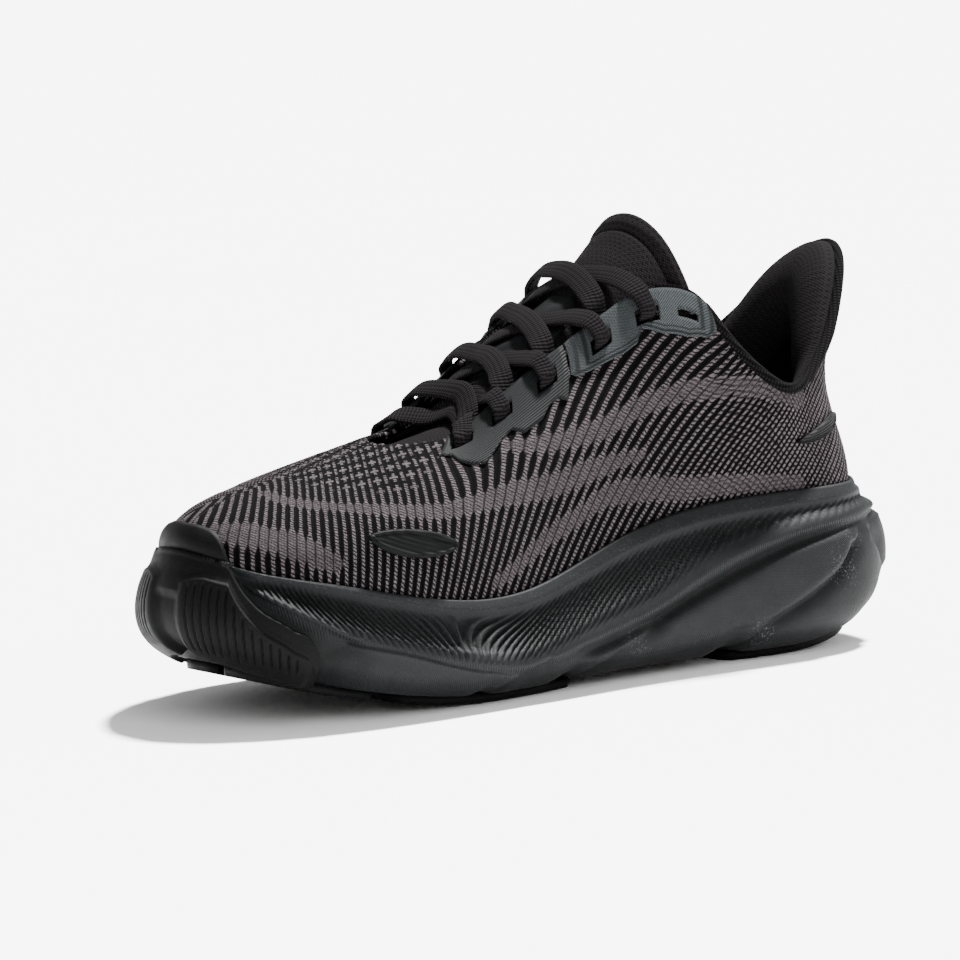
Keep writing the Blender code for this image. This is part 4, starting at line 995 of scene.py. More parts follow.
def make_midsole():
    stations = np.linspace(HEEL, HEEL + STATIONS, 1051)
    levels = np.linspace(0, 1, 68) ** 0.97
    station, t = np.meshgrid(stations, levels, indexing="ij")
    relief, masks = foam_relief(station, t)
    s = folded(station)
    covered = soft_step((CAP_TOP(s) - t) * wall_height(station) / 0.0016 + 0.5)
    covered = covered * soft_step((CAP_END - s) / 0.06)
    wall = wall_point(station, t, relief * (1 - covered))
    wall[..., 2] += notch_rise(station) * (1 - t) ** 4
    lip = lip_height_at(stations)[..., 0]
    ledge = inset_point(stations, LIP_INSET + heel_tuck(stations), 0.0)
    ledge[:, 2] = lip
    inner = inset_point(stations, FOOTBED_INSET + heel_tuck(stations), footbed)
    mirrored = inner[::-1]
    floor = (inner + mirrored) / 2
    floor[:, 2] = footbed(floor[:, 0])
    edge = wall[:, 0]
    middle = (edge + edge[::-1]) / 2
    below = []
    for share in np.linspace(0.0, 1.0, 12)[:0:-1]:
        ring = edge + (middle - edge) * share
        channel = 0.0026 * ramp(share, 0.78, 0.12) * soft_step((-0.004 - ring[:, 0]) / 0.012)
        fade = 1 - soft_step(share / 0.35)
        ring[:, 2] = foam_underside(ring[:, 0]) + notch_rise(stations) * fade + channel
        below.append(ring)
    grid = np.concatenate([np.stack(below, 1), wall, np.stack([ledge, inner, floor], 1)], 1)
    before, after = len(below), 3
    uv = np.stack([sole_run(station), t * wall_height(station) / MM], -1)
    uv = np.pad(uv, ((0, 0), (before, after), (0, 0)), mode="edge").reshape(-1, 2)
    values = {k: np.pad(v, ((0, 0), (before, after)), mode="edge").ravel() for k, v in masks.items()}
    quads = grid_quads(*grid.shape[:2])
    piece = mesh_object("midsole_foam", grid.reshape(-1, 3), quads, foam_finish(), uv, values, merge=True)
    dress(piece, "foam", "shoe", "midsole")


def dress(piece, slot, body, *nodes):
    """Rides the piece on its body and hides the CAD nodes that it stands for; its slot is not used."""
    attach(piece, body)
    if nodes:
        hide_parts(*nodes)
    return piece


# ---------------------------------------------------------------- rubber
def make_toe_cap(finish):
    """Rubber up the toe: smooth over the tip, a grooved pod each side of a hollow, curved back edges."""
    stations = np.linspace(-CAP_END, CAP_END, 321)
    levels = np.linspace(0, 1, 110)
    s = np.abs(stations)
    top = CAP_TOP(s) * (1 - 0.9 * soft_step((s - CAP_END + 0.06) / 0.06))
    station, w = np.meshgrid(stations, levels, indexing="ij")
    t = w * top[:, None]
    tall = wall_height(station)
    grid = wall_point(station, np.minimum(t, 1.0))
    for i, at in enumerate(stations):
        above = t[i] > 1
        if above.any():
            points, run = skin_column(at)
            rise = (t[i][above] - 1) * tall[i][above]
            grid[i, above] = np.stack([np.interp(rise, run, points[:, k]) for k in range(3)], 1)
            grid[i, above, :2] += (outward(np.float64(at)) * 0.0009)[None]
    out = grid_normals(grid)
    if out[len(stations) // 2, 40, 0] < 0:
        out = -out
    side = np.abs(station)
    run = sole_run(station)
    height = t * tall / MM
    pod_top = np.minimum(top[:, None] - 0.17, 0.80) - 0.10 * fall(side, 0.5, 0.4)
    pod = soft_step((pod_top - t) * tall / 0.0012) * ramp(side, 0.16, 0.10) * fall(side, 1.66, 0.08)
    curve = run + 2.2 * np.sin(np.clip(height / 22, 0, 1.2) * math.pi / 2)
    groove = np.abs((curve / CAP_GROOVE_PITCH) % 1.0 - 0.5) * 2
    cut = fall(groove, 0.34, 0.22) * soft_step((pod_top - 0.05 - t) * tall / 0.0015) * ramp(t, 0.10, 0.05)
    cut = cut * ramp(side, 0.26, 0.05) * fall(side, 1.56, 0.06)
    rim = np.exp(-(((t - pod_top) * tall / 0.0010) ** 2)) * ramp(side, 0.12, 0.1)
    hollow = fall(side, 0.22, 0.12) * fall(t, 0.62, 0.10)
    lip = np.exp(-(((t - 0.97) * tall / 0.0018) ** 2)) * fall(side, 0.75, 0.2)
    relief = POD_OUT * pod - GROOVE_IN * cut + 0.25 * rim - HOLLOW_IN * hollow - 0.3 * lip
    edge = np.minimum(np.minimum(1 - w, w + 0.5), (CAP_END - side) / 0.12)
    taper = soft_step(edge / 0.035) * 0.75 + 0.25
    on_knit = ramp(t, 0.98, 0.06)
    thick = (0.0016 - 0.0006 * on_knit + relief * MM) * taper
    outer = grid + out * (0.0012 - 0.0006 * on_knit + thick)[..., None]
    inner = grid + out * 0.0002
    piece = shell("toe_rubber", outer, inner, finish)
    dress(piece, "rubber", "shoe", "toe_cap")


def sole_edge(x, medial):
    stations = np.linspace(0.2, 7.8, 240) if medial else np.linspace(15.8, 8.2, 240)
    plan = inset_point(stations, np.full(len(stations), 0.0135), 0.0)
    return np.interp(x, plan[::-1, 0], plan[::-1, 1])


PODS = (  # name, x from and to, v from and to: v is -1 at the lateral edge, 1 at the medial one
    ("pod_forefoot_medial", 0.004, 0.083, 0.36, 1.0), ("pod_forefoot_lateral", -0.006, 0.078, -1.0, -0.36),
    ("pod_forefoot_center", 0.012, 0.082, -0.28, 0.28), ("pod_toe_medial", 0.089, 0.132, 0.08, 0.96),
    ("pod_toe_lateral", 0.086, 0.130, -0.96, -0.08), ("pod_heel_medial", -0.137, -0.066, 0.10, 0.98),
    ("pod_heel_lateral", -0.138, -0.058, -0.98, -0.10),
)
TREAD_PITCH, TREAD_LEAN = 5.2, 5.0  # mm
TREAD_DEPTH, SPLIT_DEPTH = 0.0014, 0.0012


def make_pods(finish):
    """Outsole pods: chevron grooves, a raised border and softened edges."""
    for name, x_from, x_to, v_from, v_to in PODS:
        u = np.linspace(-1, 1, 150)[:, None]
        w = np.linspace(-1, 1, 60)[None, :]
        x = (x_from + x_to) / 2 + u * (x_to - x_from) / 2 * (1 - 0.10 * np.abs(w) ** 4)
        v = (v_from + v_to) / 2 + w * (v_to - v_from) / 2 * (1 - 0.12 * np.abs(u) ** 5)
        lateral, medial = sole_edge(x, False), sole_edge(x, True)
        y = lateral + (medial - lateral) * (v + 1) / 2
        half_x, half_y = (x_to - x_from) / 2, (v_to - v_from) * 0.045 / 2
        rim = np.minimum((1 - np.abs(u)) * half_x, (1 - np.abs(w)) * half_y)
        chevron = (x / MM + TREAD_LEAN * np.abs(w)) / TREAD_PITCH
        groove = soft_step((0.30 - np.abs(chevron % 1.0 - 0.5) * 2) / 0.18) * ramp(rim, 0.0022, 0.0006)
        split = np.exp(-((w * half_y / 0.0009) ** 2)) * ramp(rim, 0.004, 0.001)
        round_edge = 0.0009 * (1 - np.sqrt(np.clip(1 - (1 - np.clip(rim / 0.0012, 0, 1)) ** 2, 0, 1)))
        lift = round_edge + TREAD_DEPTH * groove + SPLIT_DEPTH * split
        bottom = np.stack([x, y, ground(x) + lift], -1)
        top = np.stack([x, y, ground(x) + RUBBER + 0.0002], -1)
        dress(shell(name.replace("pod", "tread_pod"), bottom, top, finish), "rubber", "shoe", name)


# ---------------------------------------------------------------- knit upper
SPARE_WIDTH = 0.55           # of the extra eyelet, as a share of a slot's
# mesh rows along the edges of the slots and of the extra eyelet
SLOT_ROWS = tuple(SLOT_FROM_EDGE + SLOT_HALF * f for f in (-1.0, -SPARE_WIDTH, SPARE_WIDTH, 1.0))


def slot_rows():
    """Middle and half length of every slot, in stations, on both sides."""
    rows = list(zip(SLOT_STATIONS + (SPARE_SLOT,), SLOT_HALVES + (SPARE_HALF,)))
    return rows + [(STATIONS - s, half) for s, half in rows]


def with_slot_edges(stations):
    """The stations, with those nearest to each slot's ends moved on to them."""
    stations = stations.copy()
    for middle, half in slot_rows():
        for edge in (middle - half, middle + half):
            for turn in (0, STATIONS):
                k = np.argmin(np.abs(stations - edge - turn))
                if abs(stations[k] - edge - turn) < 0.03:
                    stations[k] = edge + turn
    return stations


def open_slots(stations, distances):
    """Cells outside the slots, for a grid of stations and distances down from the rim."""
    middle = np.mod((stations[1:] + stations[:-1]) / 2, STATIONS)
    level = (distances[1:] + distances[:-1]) / 2
    keep = np.ones((len(middle), len(level)), bool)
    for at, half in slot_rows():
        reach = SLOT_HALF * (SPARE_WIDTH if folded(at) == SPARE_SLOT else 1.0)
        along = np.abs(middle - at) < half
        keep[np.ix_(along, np.abs(level - SLOT_FROM_EDGE) < reach)] = False
    return keep


SIDE_RUN = np.linspace(0, HEEL, 161)
MID_SIDE = skin(SIDE_RUN, np.array([0.5]))[:, 0]
SIDE_LENGTHS = running_length(MID_SIDE) / MM
HEEL_RUN_START = 6.0         # about here the knit's rows stop being straight and follow the heel round
TOE_X = float(sum(np.interp(HEEL_RUN_START, SIDE_RUN, v) for v in (MID_SIDE[:, 0] / MM, SIDE_LENGTHS)))
# mm between rows, by mm along the shoe
ROW_PITCH = profile((-40, 2.9), (20, 2.9), (60, 3.2), (110, 3.9), (170, 4.0), (215, 3.1), (300, 2.8))
ROW_LEAN = profile((0, 0.0), (2.0, 0.02), (2.6, 0.12), (3.2, 0.34), (4, 0.58), (5.5, 0.90), (8, 1.20))
TOP_LEAN = 0.62              # mm back for each mm in from the outline, over the toes
ROW_PLACES = np.linspace(-40, 320, 721)
ROW_COUNT = count_along(ROW_PLACES, ROW_PLACES, ROW_PITCH)


def side_run(station):
    """Millimetres along the middle of the upper's side from the toe."""
    return np.interp(folded(station), SIDE_RUN, SIDE_LENGTHS)


def half_breadth(x, medial):
    """The foam's outline from the middle line, in mm, at these places along the shoe."""
    stations = np.linspace(0, HEEL, 200)
    edge = outline_at(STATIONS - stations if medial else stations)
    order = np.argsort(edge[:, 0])
    return np.interp(x, edge[order, 0] / MM, np.abs(edge[order, 1]) / MM)


BANDS = (  # rows of (station, share of the side's height, half width in mm)
    (
        (0.3, 0.40, 2.0), (0.6, 0.38, 3.0), (1.65, 0.39, 3.2), (2.65, 0.41, 4.2), (3.5, 0.44, 5.2),
        (4.4, 0.36, 5.5), (5.0, 0.30, 2.5),
    ),
    (
        (3.3, 0.70, 2.5), (3.9, 0.60, 4.0), (4.55, 0.51, 5.5), (5.25, 0.56, 4.5), (5.7, 0.72, 4.2),
        (6.5, 0.85, 4.0),
    ),
    ((3.6, 0.06, 2.5), (4.1, 0.17, 4.2), (4.7, 0.20, 5.0), (5.5, 0.10, 4.5), (6.4, 0.06, 3.0)),
    ((0.45, 0.10, 4.0), (0.75, 0.13, 5.5), (1.2, 0.14, 5.5), (1.9, 0.08, 3.5)),
)


def knit_pattern(stations, shares, heights, grid):
    """Stitch row count, millimetres along the rows, and the masks of dense bands and of blocks."""
    s = folded(stations)[:, None]
    run = side_run(stations)[:, None]
    rise = shares * heights[:, None] / MM
    x, y = grid[..., 0] / MM, grid[..., 1] / MM
    past_heel = (np.mod(stations, STATIONS) > HEEL)[:, None]
    breadth = np.where(past_heel, half_breadth(x, True), half_breadth(x, False))
    inward = np.clip(breadth - np.abs(y), 0, None)
    up = grid[..., 2] / MM - 40 + 0.9 * inward
    at_heel = ramp(s, 5.2, 1.6)
    level = up + (rise - up) * at_heel
    place = (TOE_X - x) * (1 - at_heel) + run * at_heel
    lean = ROW_LEAN(s)
    shift = (TOP_LEAN * inward + lean * (up - 0.9 * inward)) * (1 - at_heel) + lean * rise * at_heel
    rows = np.interp(place, ROW_PLACES, ROW_COUNT) - shift / ROW_PITCH(place)
    dense = np.zeros(rise.shape)
    tall = {round(at, 3): skin_column(at)[1][-1] / MM for at in {p[0] for band in BANDS for p in band}}
    for band in BANDS:
        for (s0, h0, w0), (s1, h1, w1) in zip(band[:-1], band[1:]):
            x0, x1 = (np.interp(v, SIDE_RUN, SIDE_LENGTHS) for v in (s0, s1))
            y0, y1 = h0 * tall[round(s0, 3)], h1 * tall[round(s1, 3)]
            f, gap, _ = from_segment(run, rise, (x0, y0), (x1, y1))
            dense = np.maximum(dense, soft_step((1.18 - gap / (w0 + f * (w1 - w0))) / 0.5))
    heel = 0.60 * ramp(s, 5.6, 1.4) * soft_step(1.2 - np.abs(shares - 0.45) * 1.4)
    dense = np.maximum(dense, heel)
    blocks = fall(s, 2.4, 0.4) * ramp(shares, 0.50, 0.08) * (1 - dense)
    return np.stack([rows, level * np.sqrt(1 + lean**2)], -1), dense, blocks


def make_upper():
    stations = with_slot_edges(np.linspace(HEEL, HEEL + STATIONS, 781))
    near = np.array((0.0, 0.0008, 0.0020, 0.0036, 0.0050, *SLOT_ROWS, 0.0135, 0.0160, 0.0205))
    heights = side_heights(np.mod(stations, STATIONS))
    top = 1 - near[None, :] / heights[:, None]
    down = np.linspace(1, 0, 40)[1:]
    shares = np.concatenate([top, top[:, -1:] * down, np.tile([-0.012], (len(stations), 1))], 1)
    grid = skin(np.mod(stations, STATIONS), shares)
    keep = np.ones((len(stations) - 1, grid.shape[1] - 1), bool)
    keep[:, : len(near) - 1] = open_slots(stations, near)
    uv, dense, blocks = knit_pattern(stations, shares, heights, grid)
    wave = (uv[..., 0] % 1.0 - 0.5) * 2
    swell = 0.00018 * np.cos(wave * math.pi) * (1 - dense) * ramp(shares, 0.01, 0.04)
    round_rim = 0.0007 * np.exp(-np.clip((1 - shares) * heights[:, None], 0, None) / 0.0009)
    outer = sunk(grid, round_rim - swell)
    inner = sunk(grid, KNIT)
    values = {"dense": dense, "blocks": blocks}
    piece = shell("knit_upper", outer, inner, knit_finish(), keep, uv=uv, values=values, merge=True)
    dress(piece, "knit", "shoe", "upper")


# station, distance of the eyestays' lower edges from the throat
FILM_EDGE = corners(
    (2.30, 0.0135), (2.45, 0.0150), (2.62, 0.0200), (2.85, 0.0245), (3.06, 0.0275), (3.14, 0.0240),
    (3.22, 0.0200), (3.32, 0.0185), (3.50, 0.0235), (3.72, 0.0225), (3.80, 0.0185), (3.90, 0.0180),
    (4.02, 0.0215),
)
WOVEN_EDGE = corners(
    (4.05, 0.0125), (4.10, 0.0145), (4.22, 0.0158), (4.60, 0.0180), (4.74, 0.0172), (4.80, 0.0125),
    (5.00, 0.0160), (5.20, 0.0165), (5.36, 0.0130), (5.48, 0.0060),
)


def make_eyestays():
    """Welded film over the lower eyelets and a stitched twill patch over the upper ones."""
    film, woven = film_finish(), woven_finish()
    pieces = (
        ("film", 2.25, 4.02, FILM_EDGE, film, 0.0006), ("woven", 4.04, 5.48, WOVEN_EDGE, woven, 0.0009),
    )
    for side in ("medial", "lateral"):
        for kind, low, high, edge, finish, thick in pieces:
            base = with_slot_edges(np.linspace(low, high, 170))
            stations = base if side == "medial" else (STATIONS - base)[::-1]
            heights = side_heights(stations)
            outer_edge = edge(folded(stations))[:, None]
            inner_rows = np.array((0.0004, 0.0018, 0.0036, *SLOT_ROWS))
            fill = np.linspace(0, 1, 13)[1:]
            last = inner_rows[-1]
            far = last + (np.maximum(outer_edge, last + 0.0006) - last) * fill
            short = np.minimum(1.0, np.maximum(outer_edge, 0.002) / (last + 0.0006))
            distance = np.concatenate([inner_rows[None, :] * np.ones_like(outer_edge), far], 1) * short
            keep = np.ones((len(stations) - 1, distance.shape[1] - 1), bool)
            keep[:, : len(inner_rows) - 1] = open_slots(stations, inner_rows)
            shares = 1 - distance / heights[:, None]
            grid = skin(stations, shares)
            from_edge = (distance[:, -1:] - distance) / MM
            ends = np.minimum(stations - stations[0], stations[-1] - stations)[:, None] * 15.0
            border = np.minimum(np.minimum(from_edge, ends), 9.0)
            soft = 0.35 + 0.65 * soft_step(border / 0.8)
            run = side_run(stations)[:, None]
            uv = pair(run, distance / MM)
            outer = sunk(grid, -(LAYER_GAP * 0.6 + thick * soft))
            inner = sunk(grid, -LAYER_GAP * 0.3)
            name = f"eyestay_{kind}_{side}"
            piece = shell(f"{name}_skin", outer, inner, finish, keep, uv=uv, values={"edge": border})
            dress(piece, kind, "shoe", name)


PATCHES = (  # name, middle and half length in stations, shares of the side's height from and to
    ("forefoot_patch", 2.60, 0.48, 0.16, 0.30), ("heel_patch", 6.80, 0.40, 0.40, 0.52),
)


def make_side_patches():
    """Plain lens-shaped patches low on the forefoot and at the heel."""
    finish = film_finish("patch_film", (0.0003, 0.0003, 0.0004), (0.0013, 0.0015, 0.0016))
    for side, sign in (("medial", 1), ("lateral", -1)):
        for name, middle, half, low, high in PATCHES:
            u = np.linspace(-1, 1, 90)
            w = np.linspace(-1, 1, 30)
            stations = (middle if sign > 0 else STATIONS - middle) + half * u
            lens = np.sqrt(np.clip(1 - 0.998 * u**2, 0, 1)) ** 1.3
            shares = (low + high) / 2 + (high - low) / 2 * lens[:, None] * w[None, :]
            grid = skin(stations, shares)
            border = np.minimum((1 - np.abs(u))[:, None] * 14, (1 - np.abs(w))[None, :] * lens[:, None] * 5)
            raised = 0.0006 * (0.3 + 0.7 * soft_step(border / 0.6)) + 0.00035 * bell(border - 1.1, 0.5)
            run = side_run(stations)[:, None]
            uv = pair(run, shares * 60.0)
            outer = sunk(grid, -(LAYER_GAP + raised))
            inner = sunk(grid, 0.0001)
            node = f"{name}_{side}"
            dress(shell(f"{node}_weld", outer, inner, finish, uv=uv), "film", "shoe", node)


# ---------------------------------------------------------------- collar
def collar_depth(stations, distances):
    """How deep the collar's cloth lies under the skin, over its foam."""
    s = 8 - np.abs(stations[:, None] - 8)
    full = np.clip((s - 5.3) / 1.2, 0, 1)
    swell = np.sin(np.clip(distances / 0.038, 0, 1) * math.pi) ** 0.8
    crease = bell(s - 6.66, 0.060) * ramp(distances, 0.003, 0.006)
    low = 0.0026 * ramp(distances, 0.026, 0.012) * full
    return 0.0021 + low + (0.0006 + 0.0076 * full) * swell - 0.0052 * crease * full * swell


COLLAR_START = 5.02
COLLAR_DOWN = 0.040          # how far down from the rim the lining follows the padding
PIPING = 0.0040


def make_collar(finish):
    stations = np.linspace(COLLAR_START, STATIONS - COLLAR_START, 361)
    heights = side_heights(stations)
    shorter = np.clip(0.85 * heights / COLLAR_DOWN, 0, 1)[:, None]
    near = np.linspace(-0.0012, COLLAR_DOWN, 56)[None, :] * shorter
    low = np.linspace(0, 1, 12)[1:]
    share_near = 1 - near / heights[:, None]
    shares = np.concatenate([share_near, share_near[:, -1:] + (0.08 - share_near[:, -1:]) * low], 1)
    distances = (1 - shares) * heights[:, None]
    grid = skin(stations, np.minimum(shares, 1.0))
    grid[..., 2] += np.clip(shares - 1, 0, None) * heights[:, None]
    start = soft_step((distances + 0.0012) / 0.0050)
    depth = 0.0001 + (collar_depth(stations, distances) - 0.0001) * start
    run = side_run(stations)[:, None]
    uv = pair(run, distances / MM)
    piece = shell("collar_cloth", sunk(grid, depth), sunk(grid, depth + 0.0012), finish, uv=uv)
    dress(piece, "lining", "shoe", "collar_lining", "collar_padding")
    stations = np.linspace(5.36, STATIONS - 5.36, 300)
    columns = skin(stations, np.array([0.97, 1.0]))
    drop = unit(columns[:, 0] - columns[:, 1])
    inward = unit((sunk(columns, 0.001) - columns)[:, 1])
    path = rim_at(stations) + drop * 0.0009 + inward * 0.0007
    cloth = cloth_finish("piping_cloth", (0.0004, 0.0004, 0.0004), (0.0080, 0.0071, 0.0075))
    across = np.cross(np.gradient(path, axis=0), drop)
    piping = tube("collar_piping", path, cloth, PIPING, PIPING, across=across, sides=12)
    dress(piping, "lining", "shoe")


# ---------------------------------------------------------------- tongue
def fine_tongue(rows, columns):
    """The tongue's face as a fine grid of points."""
    coarse = tongue_face()
    share = np.linspace(0, 1, coarse.shape[0])
    table = np.concatenate([share[:, None], coarse.reshape(coarse.shape[0], -1)], 1)
    long = smooth_interp(np.linspace(0, 1, rows), table).reshape(rows, -1, 3)
    across = np.linspace(0, 1, coarse.shape[1])
    out = np.empty((rows, columns, 3))
    for i in range(rows):
        out[i] = smooth_interp(np.linspace(0, 1, columns), np.concatenate([across[:, None], long[i]], 1))
    return out


def tongue_normals(face):
    normals = grid_normals(face)
    return normals if normals[len(normals) // 2, normals.shape[1] // 2, 2] > 0 else -normals


UNDER_ROWS = 9               # rows of the tongue's mesh that run on forwards, under the knit
SIDE_MM, BADGE_LONG, BADGE_WIDE = 28, 20, 14  # half sizes of the patterns, in mm


def make_tongue(finish):
    """Padded knit tongue: rounded edges, a seam across near its tip, a bound top edge."""
    rows, columns = 210, 90
    face = fine_tongue(rows, columns)
    under = np.arange(UNDER_ROWS, 0, -1)[:, None, None]
    front = face[0] + unit(face[0] - face[4]) * 0.0012 * under
    front[..., 1] *= 1.0 - 0.025 * under[..., 0]
    front[..., 2] -= 0.00025 * under[..., 0]
    face = np.concatenate([front, face])
    u = np.clip(np.arange(-UNDER_ROWS, rows) / (rows - 1), 0, 1)[:, None]
    rows = len(face)
    normals = tongue_normals(face)
    v = np.abs(np.linspace(-1, 1, columns))[None, :]
    foam = (0.0046 + 0.0052 * u) * (1 - 0.55 * v**4)
    rounding = np.sqrt(np.clip(1 - np.clip((v - 0.93) / 0.07, 0, 1) ** 2, 0.02, 1))
    rounding = rounding * np.sqrt(np.clip(1 - np.clip((u - 0.955) / 0.045, 0, 1) ** 2, 0.02, 1))
    seam = bell(u - 0.865 - 0.02 * v**2, 0.008)
    puff = 0.0012 * ramp(u, 0.55, 0.2) * (1 - v**2) + 0.0010 * ramp(u, 0.88, 0.05)
    ridge = 0.0005 * np.sin(u * 95) * ramp(u, 0.15, 0.1) * fall(u, 0.5, 0.1) * (1 - v**2)
    lift = np.clip((puff + ridge) * rounding - 0.0013 * seam, -0.002, 0.0018)
    half = foam / 2
    middle = face - normals * half[..., None]
    outer = middle + normals * (half * rounding + lift)[..., None]
    inner = middle - normals * (half * rounding)[..., None]
    run = np.cumsum(np.linalg.norm(np.diff(face[:, columns // 2], axis=0), axis=1))
    run = np.concatenate([[0], run])[:, None] / MM
    uv = pair(np.linspace(-SIDE_MM, SIDE_MM, columns)[None, :], run)
    piece = shell("tongue_cloth", outer, inner, finish, uv=uv)
    dress(piece, "knit", "tongue", "tongue_face", "tongue_foam", "tongue_lining")
    rows_patch, columns_patch = slice(int(rows * 0.37), int(rows * 0.63)), slice(24, 66)
    patch, out = outer[rows_patch, columns_patch], normals[rows_patch, columns_patch]
    a = np.linspace(-1, 1, patch.shape[0])[:, None]
    b = np.linspace(-1, 1, patch.shape[1])[None, :]
    squeeze = np.sqrt(np.clip(1 - 0.9 * np.abs(a) ** 2.6, 0, 1))
    centre = patch.mean(1, keepdims=True)
    patch = centre + (patch - centre) * squeeze[..., None]
    wrinkle = 0.00045 * np.sin(9.5 * a + 2.1 * np.sin(3.1 * b + 2 * a)) * np.cos(1.2 * b)
    border = np.minimum((1 - np.abs(a)) * BADGE_LONG, (1 - np.abs(b)) * BADGE_WIDE)
    raised = (0.0012 + wrinkle) * soft_step(border / 1.2) + 0.0002
    uv = pair(a * BADGE_LONG, b * BADGE_WIDE)
    rubber_skin = film_finish("overlay_rubber", (0.0012, 0.0013, 0.0014), (0.0060, 0.0066, 0.0069))
    top, bottom = patch + out * raised[..., None], patch - out * 0.0004
    badge = shell("tongue_overlay_skin", top, bottom, rubber_skin, uv=uv)
    dress(badge, "film", "tongue", "tongue_overlay")


# ---------------------------------------------------------------- laces and insole
def sockliner_top(x):
    return footbed(x) + 2 * GAP + BOARD + INSOLE


LACE_IN_SLOT, LACE_SPREAD = 0.0064, 0.0017  # width in a slot, and what is added clear of it
LACE_DRAWN = 0.0019          # its padded thickness
TAIL_ROUTE = ((-0.046, 0.0215), (-0.060, 0.0185), (-0.076, 0.0215), (-0.092, 0.0180))  # over the insole


def make_lace(finish):
    """The laced run, then its two loose ends tucked into the shoe, each with its tip."""
    path = smooth_path(lace_points(), 0.0011)
    slots = [off_skin(s, SLOT_FROM_EDGE, 0.0)[:3] for row in SLOT_STATIONS for s in (row, STATIONS - row)]
    clear = np.linalg.norm(path[:, None, :3] - np.array(slots)[None], axis=2).min(1)
    width = LACE_IN_SLOT + LACE_SPREAD * ramp(clear, 0.0055, 0.0050)
    width, across = width[:, None], path[:, 3:6]
    piece = tube("lace_run", path[:, :3], finish, width, LACE_DRAWN, across=across, sides=20, power=0.7)
    dress(piece, "lace", "shoe", "lace")
    ends = ((path[-1], path[-9]), (path[0], path[8]))
    tip_finish = plain_finish("lace_tip", (0.003, 0.003, 0.0035), (0.008, 0.008, 0.0085), 0.28, 900.0)
    rest = TAIL_RADIUS + 0.0016
    for side, sign, (tip, before) in (("medial", 1, ends[0]), ("lateral", -1, ends[1])):
        direction = unit(tip[:3] - before[:3])
        first = tip[:3] + direction * GAP
        points = [first, first + direction * 0.008, np.array([first[0] - 0.002, sign * 0.0235, 0.066])]
        for x, y in TAIL_ROUTE:
            points.append(np.array([x, sign * y, sockliner_top(x) + rest]))
        path_tail = smooth_path(np.array(points), 0.0016)[:, :3]
        heading = unit(path_tail[-1] - path_tail[-4])
        aglet = path_tail[-1] + heading * GAP
        far = aglet + unit(heading * np.array([1.0, 1.0, 0.0])) * AGLET_LENGTH
        tip_path = np.linspace(aglet, far, 24)
        cap = tube(f"lace_tip_{side}", tip_path, tip_finish, 0.0032, 0.0032, sides=16)
        dress(cap, "aglet", "sockliner", f"aglet_{side}")
        diameter = 2 * TAIL_RADIUS
        cord = tube(f"lace_end_{side}", path_tail, finish, diameter, diameter, sides=14)
        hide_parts(f"lace_tail_{side}")
        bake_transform(cord)


SOCKLINER_EDGE = (  # inset in metres and height as a share of the thickness, from the bottom up
    (0.0006, 0.13), (0.0, 0.5), (0.0002, 0.8), (0.0009, 0.96), (0.0022, 1.02), (0.0040, 1.0),
)


def make_sockliner(finish):
    """The removable insole: a soft sheet with a rounded, slightly raised edge."""
    stations = np.linspace(0, STATIONS, 401)
    edge = FOOTBED_INSET + KNIT + 0.0011
    bottom = 2 * GAP + BOARD
    rings = []
    for extra, z in SOCKLINER_EDGE:
        plan = inset_point(stations, edge + extra + heel_tuck(stations), 0.0)
        plan[:, 2] = footbed(plan[:, 0]) + bottom + INSOLE * z
        rings.append(plan)
    edge_ring = rings[-1]
    middle = (edge_ring + edge_ring[::-1]) / 2
    for share in np.linspace(0, 1, 22)[1:]:
        ring = edge_ring + (middle - edge_ring) * share
        ring[:, 2] = footbed(ring[:, 0]) + bottom + INSOLE * (1.0 - 0.06 * soft_step(share / 0.5))
        rings.append(ring)
    base = (rings[0] + rings[0][::-1]) / 2
    base[:, 2] = footbed(base[:, 0]) + bottom + INSOLE * SOCKLINER_EDGE[0][1]
    grid = np.stack([base] + rings, 1)
    uv = grid[..., :2] / MM
    quads = grid_quads(*grid.shape[:2])
    piece = mesh_object("insole_cloth", grid.reshape(-1, 3), quads, finish, uv.reshape(-1, 2), merge=True)
    dress(piece, "lining", "sockliner", "sockliner")


def make_hidden_finishes():
    """Materials for the stiffeners and board that stay as they are."""
    finishes = {
        "lasting_board": plain_finish("board_fibre", (0.22, 0.21, 0.19), (0.34, 0.33, 0.30), 0.9),
        "toe_puff": plain_finish("stiffener_sheet", (0.15, 0.15, 0.155), (0.21, 0.21, 0.215), 0.6),
    }
    finishes["heel_counter"] = finishes["toe_puff"]
    for node, finish in finishes.items():
        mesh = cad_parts[node].data
        mesh.materials.clear()
        mesh.materials.append(finish)


# ---------------------------------------------------------------- studio
CAMERA_TURN, CAMERA_RISE, CAMERA_ROLL = 38.6425, 6.5932, -0.8079  # degrees
CAMERA_AWAY = 1.5679
CAMERA_TARGET_HEIGHT = 0.070


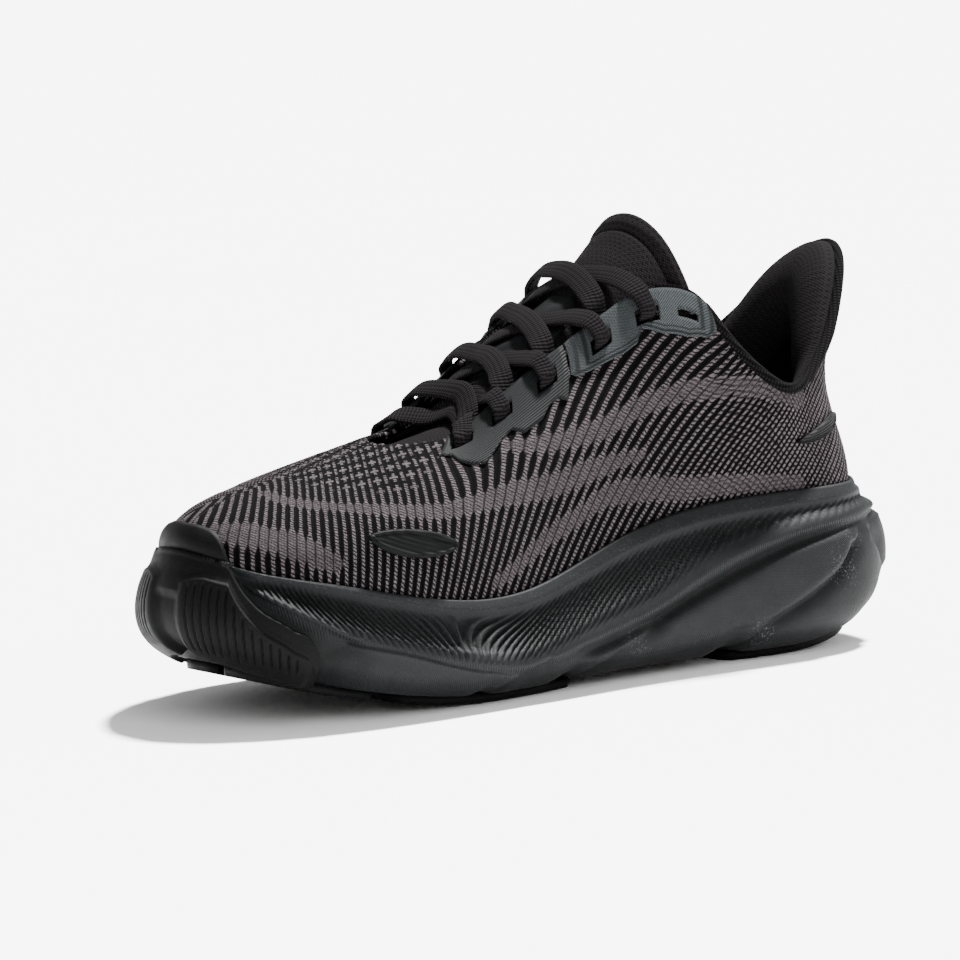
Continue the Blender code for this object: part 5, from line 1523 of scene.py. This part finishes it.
def make_camera():
    """A long lens from the medial front, a little above the sole."""
    turn, rise, roll = (math.radians(a) for a in (CAMERA_TURN, CAMERA_RISE, CAMERA_ROLL))
    back = np.array([math.sin(turn) * math.cos(rise), math.cos(turn) * math.cos(rise), math.sin(rise)])
    right = np.array([-math.cos(turn), math.sin(turn), 0.0])
    up = np.cross(back, right)
    across = right * math.cos(roll) + up * math.sin(roll)
    upward = -right * math.sin(roll) + up * math.cos(roll)
    target = np.array([0.0, 0.0, CAMERA_TARGET_HEIGHT]) - MIDDLE
    data = bpy.data.cameras.new("camera")
    data.lens = 174.24
    data.sensor_width = 36.0
    data.shift_x = -0.0438
    data.shift_y = -0.0119
    data.clip_start = 0.05
    camera = bpy.data.objects.new("camera", data)
    at = target + back * CAMERA_AWAY
    rows = [[across[k], upward[k], back[k], at[k]] for k in range(3)] + [[0, 0, 0, 1]]
    camera.matrix_world = Matrix(rows)
    link(camera)
    bpy.context.scene.camera = camera


def add_sun(name, towards, strength, spread):
    """A distant soft light; towards points from the shoe to it."""
    data = bpy.data.lights.new(name, "SUN")
    data.energy = strength
    data.angle = math.radians(spread)
    light = bpy.data.objects.new(name, data)
    light.rotation_euler = Vector(towards).to_track_quat("Z", "Y").to_euler()
    link(light)


FLOOR_HALF = 60.0
FLOOR_DROP = 0.0002          # keeps the floor just clear of the pods


def make_studio():
    world = bpy.data.worlds.new("studio")
    world.use_nodes = True
    background = world.node_tree.nodes["Background"]
    background.inputs["Color"].default_value = (1.0, 1.0, 1.0, 1)
    background.inputs["Strength"].default_value = 0.55
    bpy.context.scene.world = world
    add_sun("key", (-0.42, -0.10, 1.0), 25.0, 7.0)
    add_sun("fill", (0.30, 0.95, 0.70), 2.2, 50.0)
    add_sun("edge", (-1.0, 0.55, 0.60), 0.6, 25.0)
    mesh = bpy.data.meshes.new("floor")
    corners = [(x * FLOOR_HALF, y * FLOOR_HALF, 0) for x, y in ((-1, -1), (1, -1), (1, 1), (-1, 1))]
    mesh.from_pydata(corners, [], [(0, 1, 2, 3)])
    s = Surface("floor_paper", 0.9, 0.1)
    mesh.materials.append(s.finish(s.colour(s.noise(3.0), (0.93,) * 3, (0.95,) * 3)))
    floor = bpy.data.objects.new("floor", mesh)
    floor.location.z = -FLOOR_DROP
    link(floor)


# ---------------------------------------------------------------- the shoe
make_camera()
make_lace(lace_finish())
rubber = rubber_finish()
mesh_knit = mesh_knit_finish()
make_midsole()
make_toe_cap(rubber)
make_pods(rubber_finish("tread_rubber", 1.3))
make_upper()
make_eyestays()
make_side_patches()
make_collar(mesh_knit)
make_tongue(mesh_knit)
make_sockliner(cloth_finish("insole_knit", (0.0025, 0.0025, 0.0028), (0.016, 0.0155, 0.016), (1.2, 1.2)))
make_hidden_finishes()
make_studio()
